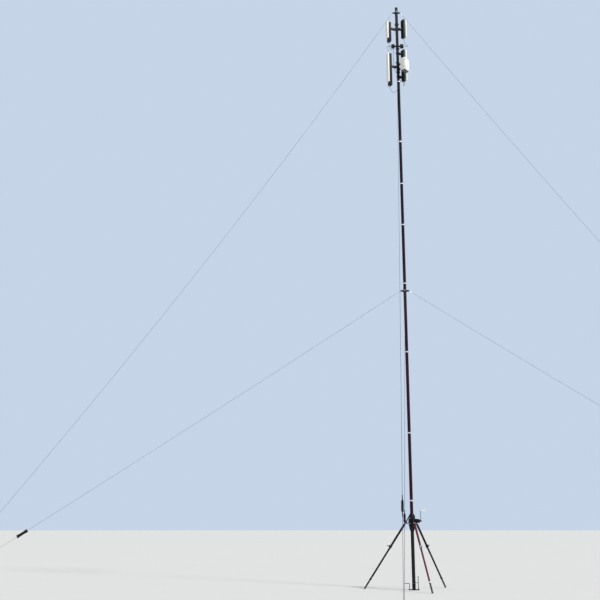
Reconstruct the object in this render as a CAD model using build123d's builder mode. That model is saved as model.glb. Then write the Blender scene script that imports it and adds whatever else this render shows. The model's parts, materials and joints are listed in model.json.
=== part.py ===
from build123d import *
import math
import os

# Guyed sectional radio mast on a folding tripod, in millimetres, +Z up.
# The origin is the centre of the base plate's underside, on the ground.
# +X points to the right of the view it was measured from and +Y away from it.

# Mast
mast_height = 15240
tube_od = 76
tube_wall = 3
joint_heights = [2020, 3618, 5612, 7370, 8935, 10062, 11246, 12990]
joint_ring_height = 28
joint_ring_lip = 5
joint_spigot_depth = 60
spigot_wall = 4
fit_clearance = 0.3
cap_seat_rise = 7
cap_radius = 37
cap_chamfer = 4

# Base plate, central lug and forked column foot
plate_radius = 130
plate_thickness = 12
plate_edge = 2
lug_thickness = 20
lug_width = 64
lug_pin_height = 110
bolt_circle_radius = 100
bolt_hole_radius = 7
bolt_count = 4
column_od = 80
column_wall = 4
foot_height = 172
foot_slot_top = 148
foot_floor_gap = 4
guide_height = 158
guide_thickness = 8
guide_width = 26
base_pin_radius = 9
base_pin_head_radius = 15
base_pin_head = 8

# Stakes that pin the base plate down
stake_radius = 7
stake_circle_radius = 103
stake_collar_radius = 13
stake_collar_height = 10
straight_stake_height = 300
hooked_stake_height = 152
hooked_stake_reach = 110
hook_bend_radius = 16

# Tripod head
hub_bottom = 1320
hub_shoulder = 1450
hub_rim = 1662
hub_top = 1722
hub_radius = 77
hub_wall = 6
socket_depth = 70
ear_radius = 165
ear_height = 1500
ear_thickness = 14
ear_boss_radius = 21
ear_arm_width = 22
ear_strut_width = 38
ear_root_top = 1700
leg_azimuths = {"left": 163, "right": 43, "near": -77}

# Legs, measured along the leg from its hinge pin
foot_circle_radius = 1164
leg_pin_radius = 7
leg_pin_head_radius = 13
leg_pin_head = 7
cheek_thickness = 7
cheek_clearance = 1
cheek_width = 42
cheek_length = 52
fork_plug_length = 12
upper_tube_od = 50
upper_tube_wall = 3
upper_tube_length = 650
clamp_wall = 7
clamp_length = 44
clamp_lug_reach = 20
clamp_lug_width = 22
lever_length = 62
lever_thickness = 7
lower_tube_gap = 1
lower_tube_wall = 3
leg_travel = 450
slide_end_clearance = 6
ferrule_start = 1528
ferrule_length = 26
ferrule_lip = 4
foot_ball_radius = 23
foot_neck_radius = 19

# Winch gearbox and crank
gearbox_azimuth = -17
gearbox_height = 1552
gearbox_pad_width = 66
gearbox_pad_height = 104
gearbox_pad_reach = 86
gearbox_reach = 176
gearbox_width = 74
gearbox_depth = 92
gearbox_corner = 12
nose_radius = 27
nose_reach = 196
shaft_radius = 9
shaft_seat = 34
crank_hub_radius = 20
crank_hub_start = 202
crank_hub_end = 230
crank_arm_start = 205
crank_arm_thickness = 10
crank_arm_width = 24
crank_throw = 228
grip_radius = 17
grip_start = 217
grip_length = 110
grip_bore_radius = 5
grip_wall = 6

# Guy rings, guys and ground anchors
mid_ring_height = 7180
top_ring_drop = 160
ring_collar_height = 52
ring_collar_wall = 9
lug_pin_radius = 108
lug_plate = 6
lug_end_radius = 18
lug_root = 50
shackle_pin_radius = 4
shackle_cheek = 4
shackle_end_radius = 10
shackle_throat = 31
shackle_length = 60
shackle_body_radius = 7
guy_radius = 2.5
guy_azimuths = {"left": 178.3, "near": 262.4, "right": 0.1, "far": 83.0}
mid_guy_sag = {"left": 33, "near": 60, "right": 56, "far": 60}
top_guy_sag = {"left": 228, "near": 200, "right": 115, "far": 200}
mid_winder_distance = {"left": 2080, "near": 2720, "right": 2600, "far": 2600}
top_winder_distance = {"left": 1800, "near": 1935, "right": 1930, "far": 1930}
winder_length = 290
winder_width = 74
winder_thickness = 12
winder_notch_width = 34
winding_length = 150
winding_width = 66
winding_thickness = 32
anchor_radii = {"left": 11185, "near": 11740, "right": 11590, "far": 11740}
anchor_pin_height = 70
anchor_pin_spacing = 60
stake_leg = 50
stake_wall = 6
stake_lean = 15
stake_above_ground = 150
eye_plate_thickness = 6
eye_plate_margin = 17

# Antenna panels, their brackets and the radio box; drops are measured down from the top of the mast
panel_azimuths = {"left": 200, "right": 26}
panel_drops = {
    ("left", "upper"): (1090, 515),
    ("left", "lower"): (2395, 1465),
    ("right", "upper"): (870, 330),
    ("right", "lower"): (2180, 1260),
}
bracket_drops = {
    ("left", "upper"): (680,),
    ("left", "lower"): (1820,),
    ("right", "upper"): (640,),
    ("right", "lower"): (1390, 2090),
}
panel_inner_radii = {
    ("left", "upper"): 200,
    ("left", "lower"): 207,
    ("right", "upper"): 168,
    ("right", "lower"): 140,
}
panel_width = 126
housing_depth = 80
housing_skin = 40
fin_count = 7
fin_thickness = 5
radome_depth = 36
radome_corner = 14
radome_overhang = 4
radome_rises = {"left": 95, "right": 10}
bracket_band_wall = 8
bracket_band_height = 30
bracket_arm_width = 36
bracket_arm_height = 40
bracket_plate_width = 70
bracket_plate_height = 130
bracket_plate_thickness = 8
cable_band_rise = 140
cable_band_lug = 16
junction_drop = 1180
junction_band_height = 34
junction_azimuths = (180, 0)
junction_box_width = 84
junction_box_height = 96
junction_box_depth = 84
junction_arm = 30
junction_corner = 12
box_azimuth = -39
box_face_radius = 146
box_near_offset = -115
box_far_offset = 115
box_depth = 134
box_bottom_drop = 1998
box_top_drop = 1645
box_corner = 10
box_band_drops = (1895, 1745)
box_arm_width = 44

# Connectors and the jumper cables between them
connector_radius = 9
connector_length = 30
connector_seat = 1
panel_port_depth = 56
junction_port_insets = {"outer": 18, "inner": 50}
box_ports = {"left": (215, -75), "middle": (215, -30), "right": (235, 40)}
jumper_radius = 4
jumper_lead = 34
corner_share = 0.45

tube_radius = tube_od / 2
column_radius = column_od / 2
stub_radius = tube_radius - tube_wall - fit_clearance
seat_height = hub_top - socket_depth
top_ring_height = mast_height - top_ring_drop
cap_seat_height = top_ring_height + ring_collar_height / 2 + cap_seat_rise
fork_end = cheek_length + fork_plug_length
lower_tube_start = fork_end + leg_travel + slide_end_clearance
panel_spans = {key: (mast_height - low, mast_height - high) for key, (low, high) in panel_drops.items()}
bracket_heights = {key: [mast_height - drop for drop in drops] for key, drops in bracket_drops.items()}
junction_height = mast_height - junction_drop
box_bottom = mast_height - box_bottom_drop
box_top = mast_height - box_top_drop
box_band_heights = [mast_height - drop for drop in box_band_drops]
leg_tilt = math.degrees(math.atan2(foot_circle_radius - ear_radius, ear_height - foot_ball_radius))
leg_length = math.hypot(foot_circle_radius - ear_radius, ear_height - foot_ball_radius)
lower_tube_radius = upper_tube_od / 2 - upper_tube_wall - lower_tube_gap

os.makedirs("parts", exist_ok=True)


def save(part, name):
    """Label one finished piece and write it to its own file."""
    part.label = name
    export_step(part, f"parts/{name}.step")


def radial_direction(azimuth):
    angle = math.radians(azimuth)
    return Vector(math.cos(angle), math.sin(angle), 0)


def radial_point(radius, azimuth, height):
    return radial_direction(azimuth) * radius + Vector(0, 0, height)


def upright_plane(azimuth, height=0):
    """Sketch x runs outward from the mast and sketch y runs up."""
    outward = radial_direction(azimuth)
    return Plane(origin=(0, 0, height), x_dir=outward, z_dir=outward.cross(Vector(0, 0, 1)))


def level_plane(azimuth, height=0):
    """Sketch x runs outward from the mast and the normal runs up."""
    return Plane(origin=(0, 0, height), x_dir=radial_direction(azimuth), z_dir=(0, 0, 1))


def outward_plane(azimuth, radius, height):
    """The normal runs outward from the mast and sketch x runs level."""
    outward = radial_direction(azimuth)
    level = Vector(0, 0, 1).cross(outward)
    return Plane(origin=radial_point(radius, azimuth, height), x_dir=level, z_dir=outward)


# Base plate with its central lug
with BuildPart() as base_plate:
    with BuildSketch():
        Circle(plate_radius)
        with PolarLocations(bolt_circle_radius, bolt_count, start_angle=45):
            Circle(bolt_hole_radius, mode=Mode.SUBTRACT)
        with Locations((-stake_circle_radius, 0), (stake_circle_radius, 0)):
            Circle(stake_radius + fit_clearance, mode=Mode.SUBTRACT)
    extrude(amount=plate_thickness)
    chamfer(base_plate.edges().filter_by(GeomType.CIRCLE).sort_by(SortBy.RADIUS)[-1:], plate_edge)
    with BuildSketch(Plane.YZ.offset(-lug_thickness / 2)):
        with Locations((0, lug_pin_height)):
            Circle(lug_width / 2)
        with Locations((0, plate_thickness)):
            Rectangle(lug_width, lug_pin_height - plate_thickness, align=(Align.CENTER, Align.MIN))
        with Locations((0, lug_pin_height)):
            Circle(base_pin_radius + fit_clearance, mode=Mode.SUBTRACT)
    extrude(amount=lug_thickness)
save(base_plate.part, "base_plate")

# Column, whose foot is a fork over the lug and carries an arm that guides the straight stake
fork_slot = lug_thickness + 2 * fit_clearance
with BuildPart() as column:
    with BuildSketch(Plane.XY.offset(plate_thickness + foot_floor_gap)):
        Circle(column_radius + fit_clearance)
    extrude(amount=foot_height - plate_thickness - foot_floor_gap)
    slot_height = foot_slot_top - plate_thickness - foot_floor_gap
    with BuildSketch(Plane.XY.offset(plate_thickness + foot_floor_gap)):
        Rectangle(fork_slot, 2 * column_od)
    extrude(amount=slot_height, mode=Mode.SUBTRACT)
    with BuildSketch(Plane.YZ.offset(-column_od)):
        with Locations((0, lug_pin_height)):
            Circle(base_pin_radius + fit_clearance)
    extrude(amount=2 * column_od, mode=Mode.SUBTRACT)
    with BuildSketch(Plane.XY.offset(foot_height)):
        Circle(column_radius)
        Circle(column_radius - column_wall, mode=Mode.SUBTRACT)
    extrude(amount=hub_bottom + socket_depth - foot_height)
    with BuildSketch(Plane.XY.offset(guide_height)):
        with Locations((stake_circle_radius / 2, 0)):
            SlotCenterToCenter(stake_circle_radius, guide_width)
        with Locations((stake_circle_radius, 0)):
            Circle(stake_radius + fit_clearance, mode=Mode.SUBTRACT)
    extrude(amount=guide_thickness)
save(column.part, "column")

# Hub with three open triangular ears
with BuildPart() as tripod_head:
    with BuildSketch(Plane.XZ):
        with BuildLine():
            Polyline(
                (column_radius + fit_clearance, hub_bottom),
                (column_radius + hub_wall, hub_bottom),
                (hub_radius, hub_shoulder),
                (hub_radius, hub_rim),
                (tube_radius + fit_clearance + hub_wall, hub_top),
                (tube_radius + fit_clearance, hub_top),
                (tube_radius + fit_clearance, seat_height),
                (tube_radius - tube_wall, seat_height),
                (tube_radius - tube_wall, hub_bottom + socket_depth),
                (column_radius + fit_clearance, hub_bottom + socket_depth),
                close=True,
            )
        make_face()
    revolve(axis=Axis.Z)
    ear_root_radius = tube_radius + 2 * hub_wall
    for azimuth in leg_azimuths.values():
        with BuildSketch(upright_plane(azimuth).offset(-ear_thickness / 2)) as ear:
            with BuildLine():
                Polyline(
                    (ear_root_radius, ear_height - ear_arm_width / 2),
                    (ear_radius, ear_height - ear_arm_width / 2),
                    (ear_radius + ear_arm_width / 2, ear_height),
                    (ear_root_radius, ear_root_top),
                    close=True,
                )
            make_face()
            with BuildLine():
                Polyline(
                    (hub_radius + hub_wall, ear_height + ear_arm_width / 2),
                    (ear_radius - ear_strut_width, ear_height + ear_arm_width / 2),
                    (hub_radius + hub_wall, ear_root_top - 2 * ear_strut_width),
                    close=True,
                )
            make_face(mode=Mode.SUBTRACT)
            with Locations((ear_radius, ear_height)):
                Circle(ear_boss_radius)
                Circle(leg_pin_radius + fit_clearance, mode=Mode.SUBTRACT)
        extrude(amount=ear_thickness)
    with BuildSketch(outward_plane(gearbox_azimuth, tube_radius + hub_wall, gearbox_height)):
        Rectangle(gearbox_pad_width, gearbox_pad_height)
    extrude(amount=gearbox_pad_reach - tube_radius - hub_wall)
save(tripod_head.part, "tripod_head")


def leg_plane(azimuth):
    """Origin on the hinge pin, normal down the leg, x along the pin."""
    tilt = math.radians(leg_tilt)
    outward = radial_direction(azimuth)
    down = outward * math.sin(tilt) - Vector(0, 0, math.cos(tilt))
    along_pin = Vector(0, 0, 1).cross(outward)
    return Plane(origin=radial_point(ear_radius, azimuth, ear_height), x_dir=along_pin, z_dir=down)


cheek_inner = ear_thickness / 2 + cheek_clearance
cheek_outer = cheek_inner + cheek_thickness
foot_start = ferrule_start + ferrule_length

for side, azimuth in leg_azimuths.items():
    leg = leg_plane(azimuth)
    cheek_plane = Plane(origin=leg.origin, x_dir=leg.z_dir, z_dir=leg.x_dir)

    with BuildPart() as leg_upper:
        with BuildSketch(leg.offset(cheek_length)):
            Circle(upper_tube_od / 2)
        extrude(amount=fork_plug_length)
        with BuildSketch(leg.offset(fork_end)):
            Circle(upper_tube_od / 2)
            Circle(upper_tube_od / 2 - upper_tube_wall, mode=Mode.SUBTRACT)
        extrude(amount=upper_tube_length - fork_end)
        for offset in (cheek_inner, -cheek_outer):
            with BuildSketch(cheek_plane.offset(offset)):
                Circle(cheek_width / 2)
                Rectangle(cheek_length, cheek_width, align=(Align.MIN, Align.CENTER))
                Circle(leg_pin_radius + fit_clearance, mode=Mode.SUBTRACT)
            extrude(amount=cheek_thickness)
    save(leg_upper.part, f"leg_upper_{side}")

    with BuildPart() as leg_clamp:
        clamp_start = upper_tube_length - clamp_length / 2
        clamp_radius = upper_tube_od / 2 + fit_clearance + clamp_wall
        with BuildSketch(leg.offset(clamp_start)):
            Circle(clamp_radius)
            with Locations((0, clamp_radius)):
                Rectangle(clamp_lug_width, 2 * clamp_lug_reach)
        extrude(amount=clamp_length)
        with BuildSketch(leg.offset(clamp_start + clamp_length - lever_thickness)):
            with Locations((0, clamp_radius + clamp_lug_reach)):
                SlotOverall(lever_length, clamp_lug_width, rotation=90)
        extrude(amount=lever_thickness)
        with BuildSketch(leg.offset(clamp_start)):
            Circle(upper_tube_od / 2 + fit_clearance)
        extrude(amount=clamp_length / 2 + fit_clearance, mode=Mode.SUBTRACT)
        with BuildSketch(leg.offset(clamp_start)):
            Circle(lower_tube_radius + fit_clearance)
        extrude(amount=clamp_length, mode=Mode.SUBTRACT)
    save(leg_clamp.part, f"leg_clamp_{side}")

    with BuildPart() as leg_lower:
        with BuildSketch(leg.offset(lower_tube_start)):
            Circle(lower_tube_radius)
            Circle(lower_tube_radius - lower_tube_wall, mode=Mode.SUBTRACT)
        extrude(amount=foot_start - lower_tube_start)
        with BuildSketch(leg.offset(ferrule_start)):
            Circle(lower_tube_radius + ferrule_lip)
            Circle(lower_tube_radius, mode=Mode.SUBTRACT)
        extrude(amount=ferrule_length)
    save(leg_lower.part, f"leg_lower_{side}")

    with BuildPart() as leg_foot:
        with BuildSketch(Plane(origin=leg.origin, x_dir=leg.y_dir, z_dir=leg.x_dir)):
            with BuildLine():
                Polyline(
                    (0, foot_start),
                    (lower_tube_radius, foot_start),
                    (foot_neck_radius, foot_start + lower_tube_radius),
                    (foot_neck_radius, leg_length - foot_ball_radius),
                    (foot_ball_radius, leg_length),
                )
                CenterArc((0, leg_length), foot_ball_radius, 0, 90)
                Line((0, leg_length + foot_ball_radius), (0, foot_start))
            make_face()
        revolve(axis=Axis(leg.origin, leg.z_dir))
    save(leg_foot.part, f"leg_foot_{side}")

# Pins of the three leg hinges and of the column foot
with BuildPart() as hinge_pins:
    for azimuth in leg_azimuths.values():
        pin_plane = upright_plane(azimuth)
        with BuildSketch(pin_plane.offset(-cheek_outer - leg_pin_head)):
            with Locations((ear_radius, ear_height)):
                Circle(leg_pin_radius)
        extrude(amount=2 * (cheek_outer + leg_pin_head))
        for offset in (-cheek_outer - fit_clearance - leg_pin_head, cheek_outer + fit_clearance):
            with BuildSketch(pin_plane.offset(offset)):
                with Locations((ear_radius, ear_height)):
                    Circle(leg_pin_head_radius)
            extrude(amount=leg_pin_head)
    base_pin_reach = column_radius + 2 * fit_clearance
    with BuildSketch(Plane.YZ.offset(-base_pin_reach)):
        with Locations((0, lug_pin_height)):
            Circle(base_pin_radius)
    extrude(amount=2 * base_pin_reach)
    for offset in (-base_pin_reach - base_pin_head, base_pin_reach):
        with BuildSketch(Plane.YZ.offset(offset)):
            with Locations((0, lug_pin_height)):
                Circle(base_pin_head_radius)
        extrude(amount=base_pin_head)
save(hinge_pins.part, "hinge_pins")

# Stakes through the base plate, one straight and one hooked
with BuildPart() as base_stakes:
    with BuildSketch():
        with Locations((stake_circle_radius, 0)):
            Circle(stake_radius)
    extrude(amount=straight_stake_height)
    with BuildSketch(Plane.XY.offset(plate_thickness)):
        with Locations((stake_circle_radius, 0), (-stake_circle_radius, 0)):
            Circle(stake_collar_radius)
    extrude(amount=stake_collar_height)
    hook_bar_height = hooked_stake_height - stake_radius
    with BuildLine(Plane.XZ) as hook_path:
        FilletPolyline(
            (-stake_circle_radius, 0),
            (-stake_circle_radius, hook_bar_height),
            (-stake_circle_radius - hooked_stake_reach, hook_bar_height),
            radius=hook_bend_radius,
        )
    with BuildSketch():
        with Locations((-stake_circle_radius, 0)):
            Circle(stake_radius)
    sweep(path=hook_path.line)
save(base_stakes.part, "base_stakes")

# Gearbox bolted to the head, and the crank that turns in its nose
with BuildPart() as gearbox:
    with BuildSketch(outward_plane(gearbox_azimuth, gearbox_pad_reach, gearbox_height)):
        RectangleRounded(gearbox_width, gearbox_depth, gearbox_corner)
    extrude(amount=gearbox_reach - gearbox_pad_reach)
    with BuildSketch(outward_plane(gearbox_azimuth, gearbox_reach, gearbox_height)):
        Circle(nose_radius)
    extrude(amount=nose_reach - gearbox_reach)
    with BuildSketch(outward_plane(gearbox_azimuth, nose_reach, gearbox_height)):
        Circle(shaft_radius + fit_clearance)
    extrude(amount=-shaft_seat, mode=Mode.SUBTRACT)
save(gearbox.part, "gearbox")

with BuildPart() as crank:
    shaft_start = nose_reach - shaft_seat + fit_clearance
    with BuildSketch(outward_plane(gearbox_azimuth, shaft_start, gearbox_height)):
        Circle(shaft_radius)
    extrude(amount=crank_hub_start - shaft_start)
    with BuildSketch(outward_plane(gearbox_azimuth, crank_hub_start, gearbox_height)):
        Circle(crank_hub_radius)
    extrude(amount=crank_hub_end - crank_hub_start)
    with BuildSketch(outward_plane(gearbox_azimuth, crank_arm_start, gearbox_height)):
        with Locations((0, crank_throw / 2)):
            SlotCenterToCenter(crank_throw, crank_arm_width, rotation=90)
    extrude(amount=crank_arm_thickness)
    with BuildSketch(outward_plane(gearbox_azimuth, crank_arm_start, gearbox_height + crank_throw)):
        Circle(grip_bore_radius - fit_clearance)
    extrude(amount=grip_start + grip_length - grip_wall - fit_clearance - crank_arm_start)
save(crank.part, "crank")

with BuildPart() as crank_grip:
    with BuildSketch(outward_plane(gearbox_azimuth, grip_start, gearbox_height + crank_throw)):
        Circle(grip_radius)
    extrude(amount=grip_length)
    fillet(crank_grip.edges().filter_by(GeomType.CIRCLE), grip_wall / 2)
    with BuildSketch(outward_plane(gearbox_azimuth, grip_start, gearbox_height + crank_throw)):
        Circle(grip_bore_radius)
    extrude(amount=grip_length - grip_wall, mode=Mode.SUBTRACT)
save(crank_grip.part, "crank_grip")

# Mast tubes, each seated between two joint rings
half_ring = joint_ring_height / 2
tube_starts = [seat_height] + [height + half_ring for height in joint_heights]
tube_ends = [height - half_ring for height in joint_heights] + [cap_seat_height]
tube_spans = list(zip(tube_starts, tube_ends))
lower_count = sum(1 for height in joint_heights if height < mid_ring_height)
tube_groups = {
    "mast_tubes_lower": tube_spans[: lower_count + 1],
    "mast_tubes_upper": tube_spans[lower_count + 1: -1],
    "mast_tube_top": tube_spans[-1:],
}
for group_name, spans in tube_groups.items():
    with BuildPart() as mast_tubes:
        for start, end in spans:
            with BuildSketch(Plane.XY.offset(start)):
                Circle(tube_radius)
                Circle(tube_radius - tube_wall, mode=Mode.SUBTRACT)
            extrude(amount=end - start)
    save(mast_tubes.part, group_name)

# Joint rings with the spigots that the tubes slide over, and the cap that an antenna clamp can grip
with BuildPart() as joint_rings:
    for height in joint_heights:
        with BuildSketch(Plane.XZ):
            with BuildLine():
                Polyline(
                    (stub_radius - spigot_wall, height - half_ring - joint_spigot_depth),
                    (stub_radius, height - half_ring - joint_spigot_depth),
                    (stub_radius, height - half_ring),
                    (tube_radius + joint_ring_lip, height - half_ring),
                    (tube_radius + joint_ring_lip, height + half_ring),
                    (stub_radius, height + half_ring),
                    (stub_radius, height + half_ring + joint_spigot_depth),
                    (stub_radius - spigot_wall, height + half_ring + joint_spigot_depth),
                    close=True,
                )
            make_face()
        revolve(axis=Axis.Z)
save(joint_rings.part, "joint_rings")

with BuildPart() as top_cap:
    with BuildSketch(Plane.XZ):
        with BuildLine():
            Polyline(
                (0, cap_seat_height - joint_spigot_depth),
                (stub_radius, cap_seat_height - joint_spigot_depth),
                (stub_radius, cap_seat_height),
                (cap_radius, cap_seat_height),
                (cap_radius, mast_height - cap_chamfer),
                (cap_radius - cap_chamfer, mast_height),
                (0, mast_height),
                close=True,
            )
        make_face()
    revolve(axis=Axis.Z)
save(top_cap.part, "top_cap")

# Guy rings: a collar with one upright lug for each guy
for ring_name, ring_height in (("guy_ring_mid", mid_ring_height), ("guy_ring_top", top_ring_height)):
    with BuildPart() as guy_ring:
        collar_radius = tube_radius + fit_clearance + ring_collar_wall
        with BuildSketch(Plane.XY.offset(ring_height - ring_collar_height / 2)):
            Circle(collar_radius)
            Circle(tube_radius + fit_clearance, mode=Mode.SUBTRACT)
        extrude(amount=ring_collar_height)
        for azimuth in guy_azimuths.values():
            with BuildSketch(upright_plane(azimuth, ring_height).offset(-lug_plate / 2)):
                with BuildLine():
                    Polyline(
                        (collar_radius - ring_collar_wall / 2, -lug_root / 2),
                        (lug_pin_radius, -lug_end_radius),
                        (lug_pin_radius, lug_end_radius),
                        (collar_radius - ring_collar_wall / 2, lug_root / 2),
                        close=True,
                    )
                make_face()
                with Locations((lug_pin_radius, 0)):
                    Circle(lug_end_radius)
                    Circle(shackle_pin_radius + fit_clearance, mode=Mode.SUBTRACT)
            extrude(amount=lug_plate)
    save(guy_ring.part, ring_name)

# Guys
pin_offsets = {"mid": -anchor_pin_spacing / 2, "top": anchor_pin_spacing / 2}
anchor_pin_radii = {
    (level, side): radius + offset
    for level, offset in pin_offsets.items()
    for side, radius in anchor_radii.items()
}
ring_heights = {"mid": mid_ring_height, "top": top_ring_height}
guy_sags = {"mid": mid_guy_sag, "top": top_guy_sag}
winder_distances = {"mid": mid_winder_distance, "top": top_winder_distance}


def guy_curve(level, side):
    """The arc from the pin at the guy ring down to the pin at the anchor."""
    azimuth = guy_azimuths[side]
    top = radial_point(lug_pin_radius, azimuth, ring_heights[level])
    bottom = radial_point(anchor_pin_radii[(level, side)], azimuth, anchor_pin_height)
    chord = bottom - top
    droop = chord.cross(chord.cross(Vector(0, 0, 1))).normalized()
    middle = (top + bottom) * 0.5 + droop * guy_sags[level][side]
    return Edge.make_three_point_arc(top, middle, bottom)


def guy_run(curve, start, end):
    """The stretch of line between two distances along a guy."""
    first = start / curve.length
    last = end / curve.length
    with BuildPart() as run:
        with BuildLine() as path:
            ThreePointArc(curve @ first, curve @ ((first + last) / 2), curve @ last)
        with BuildSketch(Plane(origin=curve @ first, z_dir=curve % first)):
            RegularPolygon(guy_radius, 6)
        sweep(path=path.line)
    return run.part


def shackle(pin_point, direction, azimuth, plate):
    """A fork with its pin over a plate, pulling along direction."""
    along_pin = Vector(0, 0, 1).cross(radial_direction(azimuth))
    fork = Plane(origin=pin_point, x_dir=direction, z_dir=along_pin)
    slot = plate / 2 + fit_clearance
    with BuildPart() as piece:
        for offset in (slot, -slot - shackle_cheek):
            with BuildSketch(fork.offset(offset)):
                Circle(shackle_end_radius)
                Rectangle(shackle_throat, 2 * shackle_end_radius, align=(Align.MIN, Align.CENTER))
            extrude(amount=shackle_cheek)
        with BuildSketch(fork.offset(-slot - shackle_cheek)):
            with Locations((shackle_throat, 0)):
                Rectangle(shackle_body_radius, 2 * shackle_end_radius, align=(Align.MIN, Align.CENTER))
        extrude(amount=2 * (slot + shackle_cheek))
        with BuildSketch(fork.offset(-slot)):
            Circle(shackle_pin_radius)
        extrude(amount=2 * slot)
        terminal_start = shackle_throat + shackle_body_radius
        with BuildSketch(Plane(origin=pin_point + direction * terminal_start, z_dir=direction)):
            Circle(shackle_body_radius)
        extrude(amount=shackle_length - terminal_start)
    return piece.part


def winder(curve, start):
    """A flat notched frame with the spare line wound on it."""
    middle = (start + winder_length / 2) / curve.length
    direction = curve % middle
    side = Vector(0, 0, 1).cross(direction).normalized()
    face = Plane(origin=curve @ middle, x_dir=direction, z_dir=side)
    with BuildPart() as piece:
        with BuildSketch(face.offset(-winder_thickness / 2)):
            RectangleRounded(winder_length, winder_width, winder_thickness)
            for edge in (-1, 1):
                with Locations((0, edge * winder_width / 2)):
                    Rectangle(winding_length, winder_notch_width / 2, mode=Mode.SUBTRACT)
        extrude(amount=winder_thickness)
        winding_start = curve @ middle - direction * (winding_length / 2)
        with BuildSketch(Plane(origin=winding_start, x_dir=side, z_dir=direction)):
            Ellipse(winding_thickness / 2, winding_width / 2)
        extrude(amount=winding_length)
    return piece.part


shackle_parts = []
winder_parts = []
for level in ("mid", "top"):
    runs = []
    for side, azimuth in guy_azimuths.items():
        curve = guy_curve(level, side)
        winder_end = curve.length - winder_distances[level][side]
        winder_start = winder_end - winder_length
        line_end = shackle_length + fit_clearance
        runs.append(guy_run(curve, line_end, winder_start - fit_clearance))
        runs.append(guy_run(curve, winder_end + fit_clearance, curve.length - line_end))
        shackle_parts.append(shackle(curve @ 0, curve % 0, azimuth, lug_plate))
        shackle_parts.append(shackle(curve @ 1, (curve % 1) * -1, azimuth, eye_plate_thickness))
        winder_parts.append(winder(curve, winder_start))
    save(Compound(children=runs), f"guys_{level}")
save(Compound(children=shackle_parts), "guy_shackles")
save(Compound(children=winder_parts), "guy_winders")

# Ground anchors: a leaning angle stake with an eye plate for two shackles
for side, azimuth in guy_azimuths.items():
    lean = math.radians(stake_lean)
    outward = radial_direction(azimuth)
    mid_pin = anchor_pin_radii[("mid", side)]
    top_pin = anchor_pin_radii[("top", side)]
    eye_back = top_pin + eye_plate_margin
    stake_axis = outward * math.sin(lean) + Vector(0, 0, math.cos(lean))
    foot_radius = eye_back - stake_above_ground / 2 * math.tan(lean)
    stake_plane = Plane(
        origin=radial_point(foot_radius, azimuth, 0) - stake_axis * stake_leg,
        x_dir=Vector(0, 0, 1).cross(outward),
        z_dir=stake_axis,
    )
    with BuildPart() as anchor:
        with BuildSketch(stake_plane):
            Rectangle(stake_leg, stake_wall, align=(Align.CENTER, Align.MAX))
            Rectangle(stake_wall, stake_leg, align=(Align.CENTER, Align.MAX))
        extrude(amount=stake_leg + stake_above_ground / math.cos(lean))
        split(bisect_by=Plane.XY, keep=Keep.TOP)
        with BuildSketch(upright_plane(azimuth, anchor_pin_height).offset(-eye_plate_thickness / 2)):
            with BuildLine():
                Polyline(
                    (mid_pin, -lug_end_radius),
                    (eye_back + stake_wall, -lug_end_radius),
                    (eye_back + stake_wall, lug_end_radius),
                    (mid_pin, lug_end_radius),
                    close=True,
                )
            make_face()
            with Locations((mid_pin, 0)):
                Circle(lug_end_radius)
            with Locations((mid_pin, 0), (top_pin, 0)):
                Circle(shackle_pin_radius + fit_clearance, mode=Mode.SUBTRACT)
        extrude(amount=eye_plate_thickness)
    save(anchor.part, f"anchor_{side}")

# Ports, each a point on a face and the direction that its connector points in
down = Vector(0, 0, -1)
band_radius = tube_radius + fit_clearance + bracket_band_wall
junction_reach = band_radius + junction_arm + junction_box_depth


def panel_port(side, level, end):
    """A port under or on top of a panel's housing."""
    bottom, top = panel_spans[(side, level)]
    radius = panel_inner_radii[(side, level)] + panel_port_depth
    if end == "bottom":
        return radial_point(radius, panel_azimuths[side], bottom), down
    return radial_point(radius, panel_azimuths[side], top), down * -1


def outer_port(azimuth):
    """A port on the outer face of a junction box."""
    return radial_point(junction_reach, azimuth, junction_height), radial_direction(azimuth)


def under_port(azimuth, place):
    """A port on the underside of a junction box."""
    radius = junction_reach - junction_port_insets[place]
    return radial_point(radius, azimuth, junction_height - junction_box_height / 2), down


def box_port(name):
    """A port under the radio box."""
    radius, across = box_ports[name]
    sideways = radial_direction(box_azimuth + 90)
    return radial_point(radius, box_azimuth, box_bottom) + sideways * across, down


def connector(port):
    """A round connector that stands on a port."""
    point, direction = port
    with BuildPart() as piece:
        with BuildSketch(Plane(origin=point - direction * connector_seat, z_dir=direction)):
            Circle(connector_radius)
        extrude(amount=connector_length + connector_seat)
    return piece.part


def pole_band(azimuth, height, band_height, arm_width, arm_end):
    """A clamp round the mast tube with one arm that points outward."""
    with BuildPart() as piece:
        with BuildSketch(outward_plane(azimuth, tube_radius, height)):
            Rectangle(arm_width, band_height)
        extrude(amount=arm_end - tube_radius)
        with BuildSketch(level_plane(azimuth, height - band_height / 2)):
            Circle(band_radius)
        extrude(amount=band_height)
        with BuildSketch(level_plane(azimuth, height - band_height / 2)):
            Circle(tube_radius + fit_clearance)
        extrude(amount=band_height, mode=Mode.SUBTRACT)
    return piece.part


panel_ports = {key: [] for key in panel_spans}
panel_ports[("left", "upper")].append(panel_port("left", "upper", "bottom"))
panel_ports[("left", "lower")].append(panel_port("left", "lower", "top"))
panel_ports[("left", "lower")].append(panel_port("left", "lower", "bottom"))
panel_ports[("right", "upper")].append(panel_port("right", "upper", "bottom"))
panel_ports[("right", "lower")].append(panel_port("right", "lower", "bottom"))

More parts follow.
